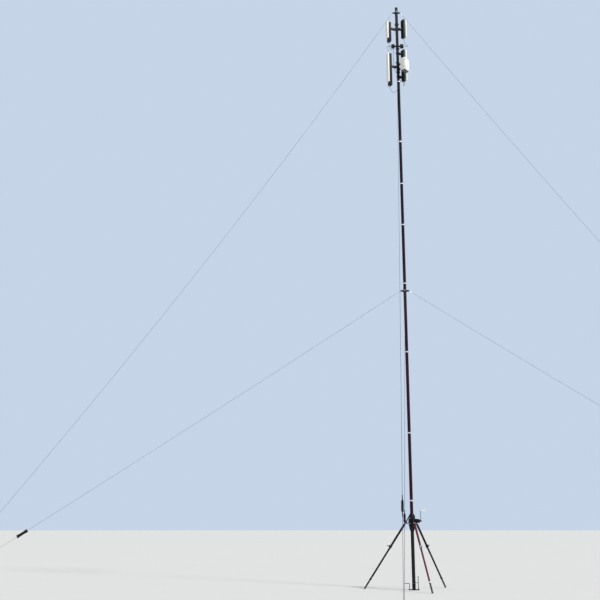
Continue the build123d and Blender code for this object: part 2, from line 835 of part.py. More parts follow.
# Antenna panels: a finned back housing and a rounded radome in front of it
for (side, level), (bottom, top) in panel_spans.items():
    azimuth = panel_azimuths[side]
    inner_radius = panel_inner_radii[(side, level)]
    radome_radius = inner_radius + housing_depth
    housing_width = panel_width - 2 * radome_overhang
    with BuildPart() as housing:
        with BuildSketch(level_plane(azimuth, bottom)):
            with Locations((radome_radius, 0)):
                Rectangle(housing_skin, housing_width, align=(Align.MAX, Align.CENTER))
            fin_pitch = (housing_width - fin_thickness) / (fin_count - 1)
            with Locations((inner_radius, 0)):
                with GridLocations(0, fin_pitch, 1, fin_count):
                    Rectangle(housing_depth, fin_thickness, align=(Align.MIN, Align.CENTER))
        extrude(amount=top - bottom)
        for port in panel_ports[(side, level)]:
            add(connector(port))
    save(housing.part, f"housing_{side}_{level}")

    with BuildPart() as radome:
        with BuildSketch(level_plane(azimuth, bottom + radome_rises[side])):
            with BuildLine():
                half = panel_width / 2
                front = radome_radius + radome_depth
                FilletPolyline(
                    (radome_radius, -half),
                    (front, -half),
                    (front, half),
                    (radome_radius, half),
                    radius=radome_corner,
                )
                Line((radome_radius, half), (radome_radius, -half))
            make_face()
        extrude(amount=top + radome_overhang - bottom - radome_rises[side])
    save(radome.part, f"radome_{side}_{level}")

# Panel brackets, and above each a band that ties cables to the pole
for side, azimuth in panel_azimuths.items():
    with BuildPart() as brackets:
        for level in ("upper", "lower"):
            plate_end = panel_inner_radii[(side, level)]
            plate_start = plate_end - bracket_plate_thickness
            for height in bracket_heights[(side, level)]:
                add(pole_band(azimuth, height, bracket_arm_height, bracket_arm_width, plate_start))
                with BuildSketch(outward_plane(azimuth, plate_start, height)):
                    Rectangle(bracket_plate_width, bracket_plate_height)
                extrude(amount=bracket_plate_thickness)
                tie_height = height + cable_band_rise
                tie_end = band_radius + cable_band_lug
                add(pole_band(azimuth, tie_height, bracket_band_height, cable_band_lug, tie_end))
    save(brackets.part, f"brackets_{side}")

# Cable junction boxes on a band between the panels
with BuildPart() as cable_junctions:
    for azimuth in junction_azimuths:
        box_start = band_radius + junction_arm
        add(pole_band(azimuth, junction_height, junction_band_height, bracket_arm_width, box_start))
        with BuildSketch(outward_plane(azimuth, box_start, junction_height)):
            RectangleRounded(junction_box_width, junction_box_height, junction_corner)
        extrude(amount=junction_reach - box_start)
        add(connector(outer_port(azimuth)))
    for place in junction_port_insets:
        add(connector(under_port(junction_azimuths[0], place)))
save(cable_junctions.part, "cable_junctions")

# Radio box on its own two bands
with BuildPart() as radio_box:
    with BuildSketch(level_plane(box_azimuth, box_bottom)):
        with Locations((box_face_radius, box_far_offset)):
            Rectangle(box_depth, box_far_offset - box_near_offset, align=(Align.MIN, Align.MAX))
    extrude(amount=box_top - box_bottom)
    fillet(radio_box.edges().filter_by(Axis.Z), box_corner)
    for name in box_ports:
        add(connector(box_port(name)))
save(radio_box.part, "radio_box")

with BuildPart() as radio_bracket:
    plate_start = box_face_radius - bracket_plate_thickness
    for height in box_band_heights:
        add(pole_band(box_azimuth, height, bracket_band_height, box_arm_width, plate_start))
    plate_bottom = min(box_band_heights) - bracket_band_height
    plate_top = max(box_band_heights) + bracket_band_height
    plate_middle = (plate_bottom + plate_top) / 2
    with BuildSketch(outward_plane(box_azimuth, plate_start, plate_middle)):
        Rectangle(box_arm_width, plate_top - plate_bottom)
    extrude(amount=bracket_plate_thickness)
save(radio_bracket.part, "radio_bracket")

# Jumper cables: the two ports of each and the points between them, measured from the top of the mast
left_junction, right_junction = junction_azimuths
jumpers = {
    "jumper_left_upper": (
        panel_port("left", "upper", "bottom"),
        [(-224, -74, -1210), (-207, -55, -1262), (-188, -40, -1308), (-162, -18, -1314)],
        under_port(left_junction, "outer"),
    ),
    "jumper_left_lower": (
        outer_port(left_junction),
        [
            (-262, -18, -1188), (-292, -50, -1216), (-296, -86, -1262), (-272, -100, -1316),
            (-252, -94, -1362),
        ],
        panel_port("left", "lower", "top"),
    ),
    "jumper_right_upper": (
        panel_port("right", "upper", "bottom"),
        [(204, 98, -992), (236, 98, -1050), (272, 82, -1104), (286, 50, -1150), (264, 18, -1178)],
        outer_port(right_junction),
    ),
    "jumper_right_lower": (
        panel_port("right", "lower", "bottom"),
        [
            (166, 74, -2300), (148, 46, -2344), (134, 8, -2356), (128, -36, -2330),
            (134, -72, -2276), (154, -96, -2214), (182, -110, -2150), (200, -115, -2106),
        ],
        box_port("right"),
    ),
    "jumper_box_left": (
        panel_port("left", "lower", "bottom"),
        [
            (-224, -92, -2530), (-176, -94, -2606), (-118, -88, -2616), (-66, -80, -2556),
            (-26, -76, -2474), (4, -80, -2390), (32, -92, -2306), (60, -112, -2228),
            (86, -142, -2158), (106, -174, -2106),
        ],
        box_port("left"),
    ),
    "jumper_box_junction": (
        under_port(left_junction, "inner"),
        [
            (-114, -6, -1400), (-118, -4, -1500), (-114, 2, -1610), (-118, -2, -1720),
            (-112, 4, -1825), (-94, -28, -1920), (-72, -56, -1996), (-32, -80, -2050),
            (20, -92, -2082), (66, -108, -2104), (112, -138, -2104),
        ],
        box_port("middle"),
    ),
}
for name, (start, middle, end) in jumpers.items():
    first = start[0] + start[1] * (connector_length + fit_clearance)
    last = end[0] + end[1] * (connector_length + fit_clearance)
    leads = [first + start[1] * jumper_lead, last + end[1] * jumper_lead]
    hung = [Vector(across, along, mast_height + drop) for across, along, drop in middle]
    points = [first, leads[0]] + hung + [leads[1], last]
    radii = []
    for before, corner, after in zip(points, points[1:], points[2:]):
        run_in = corner - before
        run_out = after - corner
        half_turn = math.radians(run_in.get_angle(run_out)) / 2
        radii.append(corner_share * min(run_in.length, run_out.length) / math.tan(half_turn))
    with BuildPart() as jumper:
        with BuildLine() as route:
            FilletPolyline(*points, radius=radii)
        with BuildSketch(Plane(origin=first, z_dir=start[1])):
            Circle(jumper_radius)
        sweep(path=route.line)
    save(jumper.part, name)
    route_length = sum(edge.length for edge in route.edges())
    print(name, "length", round(route_length), "radii", [round(radius) for radius in radii])
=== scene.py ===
import json
import math
from itertools import product

import bmesh
import bpy
from bpy.props import FloatProperty, FloatVectorProperty, IntProperty, PointerProperty
from mathutils import Matrix, Vector


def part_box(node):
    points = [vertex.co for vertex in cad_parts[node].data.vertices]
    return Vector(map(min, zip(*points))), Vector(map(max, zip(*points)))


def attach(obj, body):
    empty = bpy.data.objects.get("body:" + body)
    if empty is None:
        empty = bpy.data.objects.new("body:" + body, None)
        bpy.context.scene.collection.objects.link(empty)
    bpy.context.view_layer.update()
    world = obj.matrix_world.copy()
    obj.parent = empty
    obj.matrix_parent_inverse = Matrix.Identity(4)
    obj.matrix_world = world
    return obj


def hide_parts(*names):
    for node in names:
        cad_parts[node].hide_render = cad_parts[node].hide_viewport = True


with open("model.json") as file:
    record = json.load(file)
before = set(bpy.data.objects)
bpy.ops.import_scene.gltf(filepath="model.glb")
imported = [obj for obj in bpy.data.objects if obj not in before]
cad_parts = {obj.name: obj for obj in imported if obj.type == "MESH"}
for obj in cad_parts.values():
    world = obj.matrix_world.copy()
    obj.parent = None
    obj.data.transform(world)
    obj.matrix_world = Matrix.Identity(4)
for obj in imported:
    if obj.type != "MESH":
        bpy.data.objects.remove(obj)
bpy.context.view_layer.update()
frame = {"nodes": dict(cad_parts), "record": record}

bl_info = {
    "name": "Guyed Radio Mast",
    "version": (1, 0, 0),
    "blender": (4, 5, 0),
    "location": "View3D > Sidebar > Mast",
    "description": "Dresses a guyed tubular radio mast with its finishes, fasteners, lines and cables",
    "category": "Object",
}

RECORD = frame["record"]
BODY_OF_NODE = {node: body for body, nodes in RECORD["behaviour"]["bodies"].items() for node in nodes}
SLOT_OF_NODE = {entry["node"]: entry["material_slot"] for entry in RECORD["subparts"]}
JOINTS = {joint["name"]: joint for joint in RECORD["behaviour"]["joints"]}
# The nodes whose finish isn't that of their slot
OWN_FINISHES = {
    # The near leg's paint is a lit copy of the legs' paint: painted sunlight
    "leg_upper_near": "near_leg_paint", "leg_lower_near": "near_leg_paint", "leg_clamp_near": "clamp_metal",
    # The two far legs' clamps take a dark copy of the steel: painted shade
    "leg_clamp_left": "dark_clamp_metal", "leg_clamp_right": "dark_clamp_metal",
    # The right housings' finishes paint shade on their backs
    "housing_right_upper": "green_casting_upper", "housing_right_lower": "green_casting_lower",
}

# Sizes of the solids that the fittings sit on, in metres
CONNECTOR_LENGTH = 0.03
TUBE_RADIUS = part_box("mast_tubes_lower")[1].x
JOINT_HEIGHTS = (2.02, 3.618, 5.612, 7.37, 8.935, 10.062, 11.246, 12.99)
RING_HALF = 0.014
RING_RADIUS = 0.043
HUB_RADIUS = 0.077
BAND_RADIUS = 0.0463

LEG_SIDES = ("left", "right", "near")
LEG_CLAMP_PLACE = 0.65
LEG_FERRULE = (1.528, 1.554)
LEG_FERRULE_RADIUS = 0.025

CRANK_AXIS = Vector(JOINTS["crank_turn"]["axis"])
GEARBOX_HEIGHT = JOINTS["crank_turn"]["pos_m"][2]
GEARBOX_FACE = 0.176
GEARBOX_NOSE = 0.196
CRANK_HUB_END = 0.23
GRIP_SPAN = (0.217, 0.327)
GRIP_HEIGHTS = tuple(corner.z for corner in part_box("crank_grip"))
GRIP_RADIUS = (GRIP_HEIGHTS[1] - GRIP_HEIGHTS[0]) / 2.0

GUY_AZIMUTHS = {"left": 178.3, "near": 262.4, "right": 0.1, "far": 83.0}
GUY_SAGS = {
    "mid": {"left": 0.033, "near": 0.06, "right": 0.056, "far": 0.06},
    "top": {"left": 0.228, "near": 0.2, "right": 0.115, "far": 0.2},
}
WINDER_DISTANCES = {
    "mid": {"left": 2.08, "near": 2.72, "right": 2.6, "far": 2.6},
    "top": {"left": 1.8, "near": 1.935, "right": 1.93, "far": 1.93},
}
GUY_RING_HEIGHTS = {
    level: sum(corner.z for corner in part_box(f"guy_ring_{level}")) / 2.0 for level in ("mid", "top")
}
GUY_RING_LUG = 0.108
ANCHOR_RADII = {"left": 11.185, "near": 11.74, "right": 11.59, "far": 11.74}
ANCHOR_PINS = {"mid": -0.03, "top": 0.03}
ANCHOR_HEIGHT = 0.07
GUY_LINE_RADIUS = 0.0025
GUY_LINE_SPACING = 0.3
SHACKLE_LENGTH = 0.06
SHACKLE_HALF = 0.0073
WINDER_SIZE = (0.29, 0.074, 0.012)
WINDING_SIZE = (0.15, 0.066, 0.032)

PANEL_AZIMUTHS = {"left": 200, "right": 26}
PANELS = {
    ("left", "upper"): {"inner": 0.2, "brackets": (14.56,)},
    ("left", "lower"): {"inner": 0.207, "brackets": (13.42,)},
    ("right", "upper"): {"inner": 0.168, "brackets": (14.6,)},
    ("right", "lower"): {"inner": 0.14, "brackets": (13.85, 13.15)},
}
PANEL_WIDTH = 0.126
HOUSING_DEPTH = 0.08
HOUSING_SKIN = 0.04
RADOME_DEPTH = 0.036
RADOME_CORNER = 0.014
RADOME_OVERHANG = 0.004
BRACKET_PLATE = (0.07, 0.13, 0.008)
BRACKET_ARM_HALF = 0.018
CHEEK_THICKNESS = 0.004
TIE_BAND_RISE = 0.14
TIE_BAND_LUG = 0.016
PANEL_PORT_DEPTH = 0.056

JUNCTION_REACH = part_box("cable_junctions")[1].x - CONNECTOR_LENGTH
JUNCTION_SPAN = (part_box("cable_junctions")[0].z + CONNECTOR_LENGTH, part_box("cable_junctions")[1].z)
BOX_AZIMUTH = -39
BOX_FACE = 0.146
BOX_DEPTH = 0.134
BOX_SIDES = (-0.115, 0.115)
BOX_SPAN = (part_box("radio_box")[0].z + CONNECTOR_LENGTH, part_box("radio_box")[1].z)
BOX_BANDS = (13.345, 13.495)
JUMPER_RADIUS = 0.004
JUMPER_GAP = 0.0003
JUMPER_LEAD = 0.034

# How far a fitting's flat back is sunk in the face that it sits on
SEAT_DEPTH = 0.0002

# The view that the mast is seen from, for a square picture
CAMERA_PLACE = (-2.629, -21.433, 1.414)
CAMERA_PITCH = 14.464
CAMERA_TURN = 0.041
CAMERA_LENS = 52.8
CAMERA_REACH = 1000.0
FLOOR_REACH = 380.0
FLOOR_SIDES = 128
# Where the key light comes from, as an azimuth, a distance and a height
KEY_LIGHT_FROM = (-42.0, 1.0, 0.95)

# Heights between which the tubes' paint darkens towards the top as painted shade, and the darkened colour
# there
SHADED_TOP_SPAN = (6.0, 13.0)
SHADED_TOP_COLOUR = (0.007, 0.004, 0.008)
DUST = (0.17, 0.15, 0.12)

# The angle from which an edge is sharp, in degrees
SHARP_ANGLE = 35.0

UP = Vector((0.0, 0.0, 1.0))
DOWN = UP * -1.0
QUARTER_TURN = Matrix.Rotation(math.radians(90.0), 4, "X")


def outward(azimuth, radius=1.0, height=0.0):
    """A point at a radius from the mast's axis."""
    angle = math.radians(azimuth)
    return Vector((radius * math.cos(angle), radius * math.sin(angle), height))


def facing(place, normal):
    """A matrix whose z axis points along normal, with x level and y up or near it."""
    z_axis = Vector(normal).normalized()
    x_axis = UP.cross(z_axis)
    if x_axis.length < 1e-4:
        x_axis = Vector((1.0, 0.0, 0.0))
    x_axis.normalize()
    turned = Matrix((x_axis, z_axis.cross(x_axis), z_axis)).transposed().to_4x4()
    return Matrix.Translation(Vector(place)) @ turned


def upright(azimuth, height):
    """A matrix whose x axis points outward at an azimuth and whose z axis points up."""
    return Matrix.Translation((0.0, 0.0, height)) @ Matrix.Rotation(math.radians(azimuth), 4, "Z")


def shifted(place, x, y, z):
    """A matrix moved along its own axes."""
    return place @ Matrix.Translation((x, y, z))


def rounded(corners, radius, steps=5):
    """A flat outline whose corners are eased by arcs, of one radius or of one for each corner."""
    outline = []
    radii = radius if isinstance(radius, tuple) else (radius,) * len(corners)
    for index, (corner, radius) in enumerate(zip(corners, radii)):
        here = Vector(corner)
        run_in = (Vector(corners[index - 1]) - here).normalized()
        run_out = (Vector(corners[(index + 1) % len(corners)]) - here).normalized()
        half = run_in.angle(run_out) / 2.0
        centre = here + (run_in + run_out).normalized() * (radius / math.sin(half))
        start = here + run_in * (radius / math.tan(half)) - centre
        end = here + run_out * (radius / math.tan(half)) - centre
        turn = start.angle_signed(end) * -1.0
        for step in range(steps + 1):
            angle = turn * step / steps
            cosine, sine = math.cos(angle), math.sin(angle)
            outline.append((
                centre.x + start.x * cosine - start.y * sine,
                centre.y + start.x * sine + start.y * cosine,
            ))
    return outline


def rectangle(width, height, radius):
    """A rectangle with eased corners, centred on its place."""
    x, y = width / 2.0, height / 2.0
    return rounded(((-x, -y), (x, -y), (x, y), (-x, y)), radius)


class Signal:
    """An output of a node tree, with arithmetic on its values."""

    def __init__(self, owner, socket):
        self.owner = owner
        self.socket = socket

    def maths(self, operation, first, second):
        return self.owner.node("ShaderNodeMath", {"operation": operation}, {0: first, 1: second})

    def __add__(self, other):
        return self.maths("ADD", self, other)

    def __sub__(self, other):
        return self.maths("SUBTRACT", self, other)

    def __rsub__(self, other):
        return self.maths("SUBTRACT", other, self)

    def __mul__(self, other):
        return self.maths("MULTIPLY", self, other)

    __radd__ = __add__
    __rmul__ = __mul__

    def highest(self, other):
        return self.maths("MAXIMUM", self, other)

    def folded(self, period):
        """Rises and falls between 0 and the period."""
        return self.maths("PINGPONG", self, period)


class Nodes:
    """A node tree whose nodes all come from one method."""

    def __init__(self, tree):
        self.tree = tree

    def node(self, kind, settings=None, inputs=None, output=0):
        """One node: its settings first, then the values or links of its sockets."""
        made = self.tree.nodes.new(kind)
        for key, value in (settings or {}).items():
            setattr(made, key, value)
        for key, value in (inputs or {}).items():
            if isinstance(value, Signal):
                self.tree.links.new(value.socket, made.inputs[key])
            else:
                made.inputs[key].default_value = value
        return Signal(self, made.outputs[output])


def lighter(colour, share):
    """A colour made lighter or darker by a share."""
    return tuple(channel * share for channel in colour)


def rgba(colour, share=1.0):
    """A colour with full opacity, made lighter or darker by a share."""
    return (*lighter(colour, share), 1.0)


class Finish(Nodes):
    """A procedural material and the few steps that make one."""

    def __init__(self, name, roughness, metallic=0.0, specular=0.5):
        self.material = bpy.data.materials.new(name)
        self.material.use_nodes = True
        super().__init__(self.material.node_tree)
        self.shader = self.tree.nodes["Principled BSDF"]
        self.shader.inputs["Roughness"].default_value = roughness
        self.shader.inputs["Metallic"].default_value = metallic
        self.shader.inputs["Specular IOR Level"].default_value = specular
        self.place = self.node("ShaderNodeTexCoord", output="Object")

    def stretched(self, scale):
        """Object coordinates scaled along each axis."""
        return self.node("ShaderNodeMapping", None, {"Vector": self.place, "Scale": scale})

    def noise(self, scale, detail=3.0, roughness=0.5, where=None):
        values = {"Vector": where or self.place, "Scale": scale, "Detail": detail, "Roughness": roughness}
        return self.node("ShaderNodeTexNoise", None, values)

    def band(self, signal, low, high):
        """0 below low, 1 above high and a straight rise between them."""
        return self.node("ShaderNodeMapRange", None, {"Value": signal, "From Min": low, "From Max": high})

    def blend(self, amount, first, second):
        """A colour between two, by an amount from 0 to 1."""
        values = {"Factor": amount, 6: first, 7: second}
        return self.node("ShaderNodeMix", {"data_type": "RGBA"}, values, output=2)

    def height(self):
        return self.node("ShaderNodeSeparateXYZ", None, {"Vector": self.place}, output="Z")

    def reach(self, azimuth):
        """The distance from the mast's axis along an azimuth."""
        values = {0: self.place, 1: outward(azimuth)}
        return self.node("ShaderNodeVectorMath", {"operation": "DOT_PRODUCT"}, values, output="Value")

    def feed(self, **signals):
        """Links signals to the shader's sockets."""
        for name, signal in signals.items():
            self.tree.links.new(signal.socket, self.shader.inputs[name.replace("_", " ").title()])

    def bump(self, height, distance, strength):
        values = {"Height": height, "Distance": distance, "Strength": strength}
        self.feed(normal=self.node("ShaderNodeBump", None, values))


def painted_metal(name, colour, highlight, roughness, chip_colour, chip_share=0.66, high_up=None):
    """Satin paint: faint cloudiness, fine orange peel, rubbed streaks and a few chips.

    Where a darker colour is given, the paint turns to it towards the top of the mast as painted shade.
    """
    finish = Finish(name, roughness=roughness, specular=0.12)
    clouds = finish.noise(6.0, 4.0, 0.6)
    rubbed = finish.band(finish.noise(70.0, 5.0, 0.7, finish.stretched((1.0, 1.0, 0.2))), 0.5, 0.8)
    chips = finish.band(finish.noise(60.0, 5.0, 0.7), chip_share, chip_share + 0.02)
    body = finish.blend(clouds, rgba(colour), rgba(highlight))
    # Painted shade: the paint darkens with height towards the top of the mast
    if high_up:
        body = finish.blend(finish.band(finish.height(), *SHADED_TOP_SPAN), body, rgba(high_up))
    worn = finish.blend(rubbed * 0.25, body, rgba(highlight, 1.5))
    finish.feed(base_color=finish.blend(chips, worn, rgba(chip_colour)))
    finish.feed(roughness=roughness - 0.06 + rubbed * 0.2)
    peel = finish.noise(900.0, 2.0)
    finish.bump(peel * 0.4 - chips, 0.0003, 0.6)
    return finish.material


def cast_metal(name, colour, dust_colour, roughness=0.5, dark_back=None):
    """Painted casting: a pebbled skin with dust in its hollows.

    A last argument, where given, paints shade on the back of a panel's housing: nearer the mast than a
    reach along an azimuth it takes a dark colour, and the argument gives the azimuth, the reach and the
    colour.
    """
    finish = Finish(name, roughness=roughness, specular=0.12)
    grain = finish.noise(380.0, 4.0, 0.6)
    dust = finish.band(finish.noise(14.0, 5.0, 0.7), 0.5, 0.8)
    body = finish.blend(grain, rgba(colour, 0.75), rgba(colour, 1.3))
    # Painted shade on the housing's back, the part nearest the mast
    if dark_back:
        azimuth, limit, dark = dark_back
        body = finish.blend(finish.band(finish.reach(azimuth), limit, limit + 0.001), rgba(dark), body)
    finish.feed(base_color=finish.blend(dust * 0.1, body, rgba(dust_colour)))
    finish.feed(roughness=roughness - 0.1 + grain * 0.2 + dust * 0.15)
    finish.bump(grain, 0.0005, 0.7)
    return finish.material


def turned_metal(name, colour, roughness, along):
    """Bright metal: fine tool marks, dull patches and a few dark nicks."""
    finish = Finish(name, roughness=roughness, metallic=1.0)
    marks = finish.noise(60.0, 3.0, 0.6, finish.stretched(along))
    patches = finish.band(finish.noise(35.0, 4.0, 0.6), 0.4, 0.75)
    nicks = finish.band(finish.noise(160.0, 4.0, 0.7), 0.68, 0.72)
    body = finish.blend(patches * 0.5, rgba(colour), rgba(colour, 0.72))
    finish.feed(base_color=finish.blend(nicks, body, rgba(colour, 0.35)))
    finish.feed(roughness=roughness + marks * 0.14 + patches * 0.16)
    finish.bump(marks, 0.0001, 0.5)
    return finish.material


def galvanised_steel(name, colour, earth_colour):
    """Zinc coating: spangle, dull weathering and a little earth low down."""
    finish = Finish(name, roughness=0.45, metallic=0.8)
    cells = {"Vector": finish.place, "Scale": 140.0}
    spangle = finish.node("ShaderNodeTexVoronoi", None, cells, output="Color")
    shade = finish.node("ShaderNodeRGBToBW", None, {"Color": spangle})
    weather = finish.band(finish.noise(22.0, 5.0, 0.7), 0.45, 0.7)
    low_down = 1.0 - finish.band(finish.height(), 0.0, 0.06)
    earth = low_down * finish.band(finish.noise(60.0, 4.0), 0.35, 0.6)
    body = finish.blend(shade, rgba(colour, 0.8), rgba(colour, 1.25))
    worn = finish.blend(weather * 0.6, body, rgba(colour, 0.62))
    finish.feed(base_color=finish.blend(earth * 0.7, worn, rgba(earth_colour)))
    finish.feed(roughness=0.36 + shade * 0.15 + weather * 0.15 + earth * 0.2)
    finish.feed(metallic=0.85 - earth * 0.8)
    finish.bump(shade * 0.3 + weather, 0.0002, 0.5)
    return finish.material


def moulded_plastic(name, colour, roughness, grain_scale, dirt_colour, dirt_share, specular=0.5):
    """Moulded plastic: fine grain, faint rain streaks and dust."""
    finish = Finish(name, roughness=roughness, specular=specular)
    grain = finish.noise(grain_scale, 2.0)
    streaks = finish.band(finish.noise(45.0, 5.0, 0.65, finish.stretched((1.0, 1.0, 0.06))), 0.52, 0.8)
    clouds = finish.noise(5.0, 3.0)
    body = finish.blend(clouds, rgba(colour, 0.95), rgba(colour, 1.03))
    finish.feed(base_color=finish.blend(streaks * dirt_share, body, rgba(dirt_colour)))
    finish.feed(roughness=roughness - 0.05 + grain * 0.08 + streaks * 0.15)
    finish.bump(grain, 0.0001, 0.4)
    return finish.material


def braided_line(name, colour, fleck_colour):
    """Braided cord: two families of strands that cross, on the line's own map."""
    finish = Finish(name, roughness=0.75)
    place = finish.node("ShaderNodeUVMap", {"uv_map": "length"})
    across = finish.node("ShaderNodeSeparateXYZ", None, {"Vector": place}, output="X")
    along = finish.node("ShaderNodeSeparateXYZ", None, {"Vector": place}, output="Y")
    right = (across * 4.0 + along * 160.0).folded(0.5)
    left = (across * 4.0 - along * 160.0).folded(0.5)
    strands = right.highest(left) * 2.0
    flecks = finish.band(finish.noise(600.0, 2.0), 0.62, 0.66)
    body = finish.blend(strands, rgba(colour, 0.5), rgba(colour, 1.3))
    finish.feed(base_color=finish.blend(flecks * 0.5, body, rgba(fleck_colour)))
    finish.feed(roughness=0.85 - strands * 0.2)
    finish.bump(strands, 0.0006, 0.8)
    return finish.material


def wound_cord(name, colour):
    """Spare cord on its winder: a tight woven skin."""
    finish = Finish(name, roughness=0.85, specular=0.15)
    cells = {"Vector": finish.place, "Scale": 700.0}
    weave = finish.node("ShaderNodeTexVoronoi", None, cells, output="Distance")
    sheen = finish.noise(30.0, 3.0)
    body = finish.blend(weave, rgba(colour, 1.3), rgba(colour, 0.5))
    finish.feed(base_color=finish.blend(sheen * 0.3, body, rgba(colour, 2.0)))
    finish.feed(roughness=0.7 + weave * 0.2)
    finish.bump(1.0 - weave, 0.0005, 0.8)
    return finish.material


def rubber(name, colour, bloom_colour, roughness):
    """Black rubber: a dusty bloom and fine pits."""
    finish = Finish(name, roughness=roughness, specular=0.25)
    pits = finish.noise(350.0, 4.0, 0.7)
    bloom = finish.band(finish.noise(25.0, 4.0, 0.7), 0.4, 0.8)
    finish.feed(base_color=finish.blend(bloom * 0.5, rgba(colour), rgba(bloom_colour)))
    finish.feed(roughness=roughness - 0.1 + bloom * 0.25 + pits * 0.1)
    finish.bump(pits, 0.0003, 0.6)
    return finish.material


FINISHES = {}


def add_finish(maker, name, colour, **values):
    """Makes a finish and keeps it by its name."""
    FINISHES[name] = maker(name, colour, **values)


def make_finishes(colours):
    """Every finish of the mast, from the colours that the user sets."""
    mast, leg, sunlit_leg = tuple(colours.mast_paint), tuple(colours.leg_paint), tuple(colours.near_leg_paint)
    black, green, line = tuple(colours.black_paint), tuple(colours.green_paint), tuple(colours.guy_line)
    bright, white = tuple(colours.bright_metal), tuple(colours.white_shell)
    steel, dark_bolt_and_shaded_steel = (0.6, 0.6, 0.61), (0.03, 0.03, 0.033)

    add_finish(
        painted_metal, "mast_paint", mast, highlight=lighter(mast, 1.3), roughness=0.4,
        chip_colour=(0.3, 0.22, 0.22), chip_share=0.74, high_up=SHADED_TOP_COLOUR,
    )
    # The legs share one dark maroon paint: leg_paint is its dark copy on two legs as painted shade, and the
    # near leg's is its lit copy as painted sunlight
    add_finish(
        painted_metal, "leg_paint", leg, highlight=lighter(leg, 1.4), roughness=0.4,
        chip_colour=(0.3, 0.26, 0.25), chip_share=0.72,
    )
    add_finish(
        painted_metal, "near_leg_paint", sunlit_leg, highlight=lighter(sunlit_leg, 1.5), roughness=0.4,
        chip_colour=(0.5, 0.4, 0.4),
    )
    add_finish(
        painted_metal, "black_steel", black, highlight=lighter(black, 1.5), roughness=0.42,
        chip_colour=(0.3, 0.28, 0.27),
    )
    add_finish(
        painted_metal, "grey_metal", (0.034, 0.042, 0.06), highlight=(0.05, 0.06, 0.085), roughness=0.4,
        chip_colour=(0.3, 0.3, 0.3), chip_share=0.72,
    )
    add_finish(cast_metal, "black_casting", black, dust_colour=DUST)
    # The right housings: grey-green, with painted shade in black on their backs nearest the mast
    for level in ("upper", "lower"):
        limit = PANELS[("right", level)]["inner"] + HOUSING_DEPTH - HOUSING_SKIN + 0.004
        add_finish(
            cast_metal, f"green_casting_{level}", green, dust_colour=(0.3, 0.3, 0.26), roughness=0.55,
            dark_back=(PANEL_AZIMUTHS["right"], limit, black),
        )
    add_finish(turned_metal, "bright_metal", bright, roughness=0.28, along=(1.0, 1.0, 60.0))
    # The dark steel is painted shade on the two far legs' clamps and ferrules, and the dark metal of the
    # panels' screws and bolts
    for name, colour, roughness in (
        ("clamp_metal", steel, 0.4), ("dark_clamp_metal", dark_bolt_and_shaded_steel, 0.5), ("steel_bolt", steel, 0.32),
    ):
        add_finish(turned_metal, name, colour, roughness=roughness, along=(1.0, 1.0, 1.0))
    add_finish(galvanised_steel, "anchor_steel", (0.5, 0.51, 0.52), earth_colour=(0.16, 0.1, 0.06))
    add_finish(
        moulded_plastic, "grey_plastic", (0.82, 0.84, 0.86), roughness=0.45, grain_scale=700.0,
        dirt_colour=DUST, dirt_share=0.2,
    )
    add_finish(
        moulded_plastic, "black_plastic", (0.012, 0.012, 0.014), roughness=0.55, grain_scale=500.0,
        dirt_colour=DUST, dirt_share=0.2, specular=0.15,
    )
    add_finish(
        moulded_plastic, "white_plastic", white, roughness=0.36, grain_scale=700.0,
        dirt_colour=(0.42, 0.39, 0.33), dirt_share=0.35,
    )
    add_finish(
        moulded_plastic, "white_paint", white, roughness=0.32, grain_scale=1100.0,
        dirt_colour=(0.42, 0.38, 0.33), dirt_share=0.4,
    )
    add_finish(rubber, "foot_rubber", (0.02, 0.02, 0.021), bloom_colour=DUST, roughness=0.6)
    add_finish(
        rubber, "cable_jacket", (0.006, 0.006, 0.009), bloom_colour=(0.02, 0.02, 0.022), roughness=0.55,
    )
    add_finish(braided_line, "guy_rope", line, fleck_colour=(0.4, 0.4, 0.38))
    add_finish(wound_cord, "wound_cord", lighter(line, 0.45))


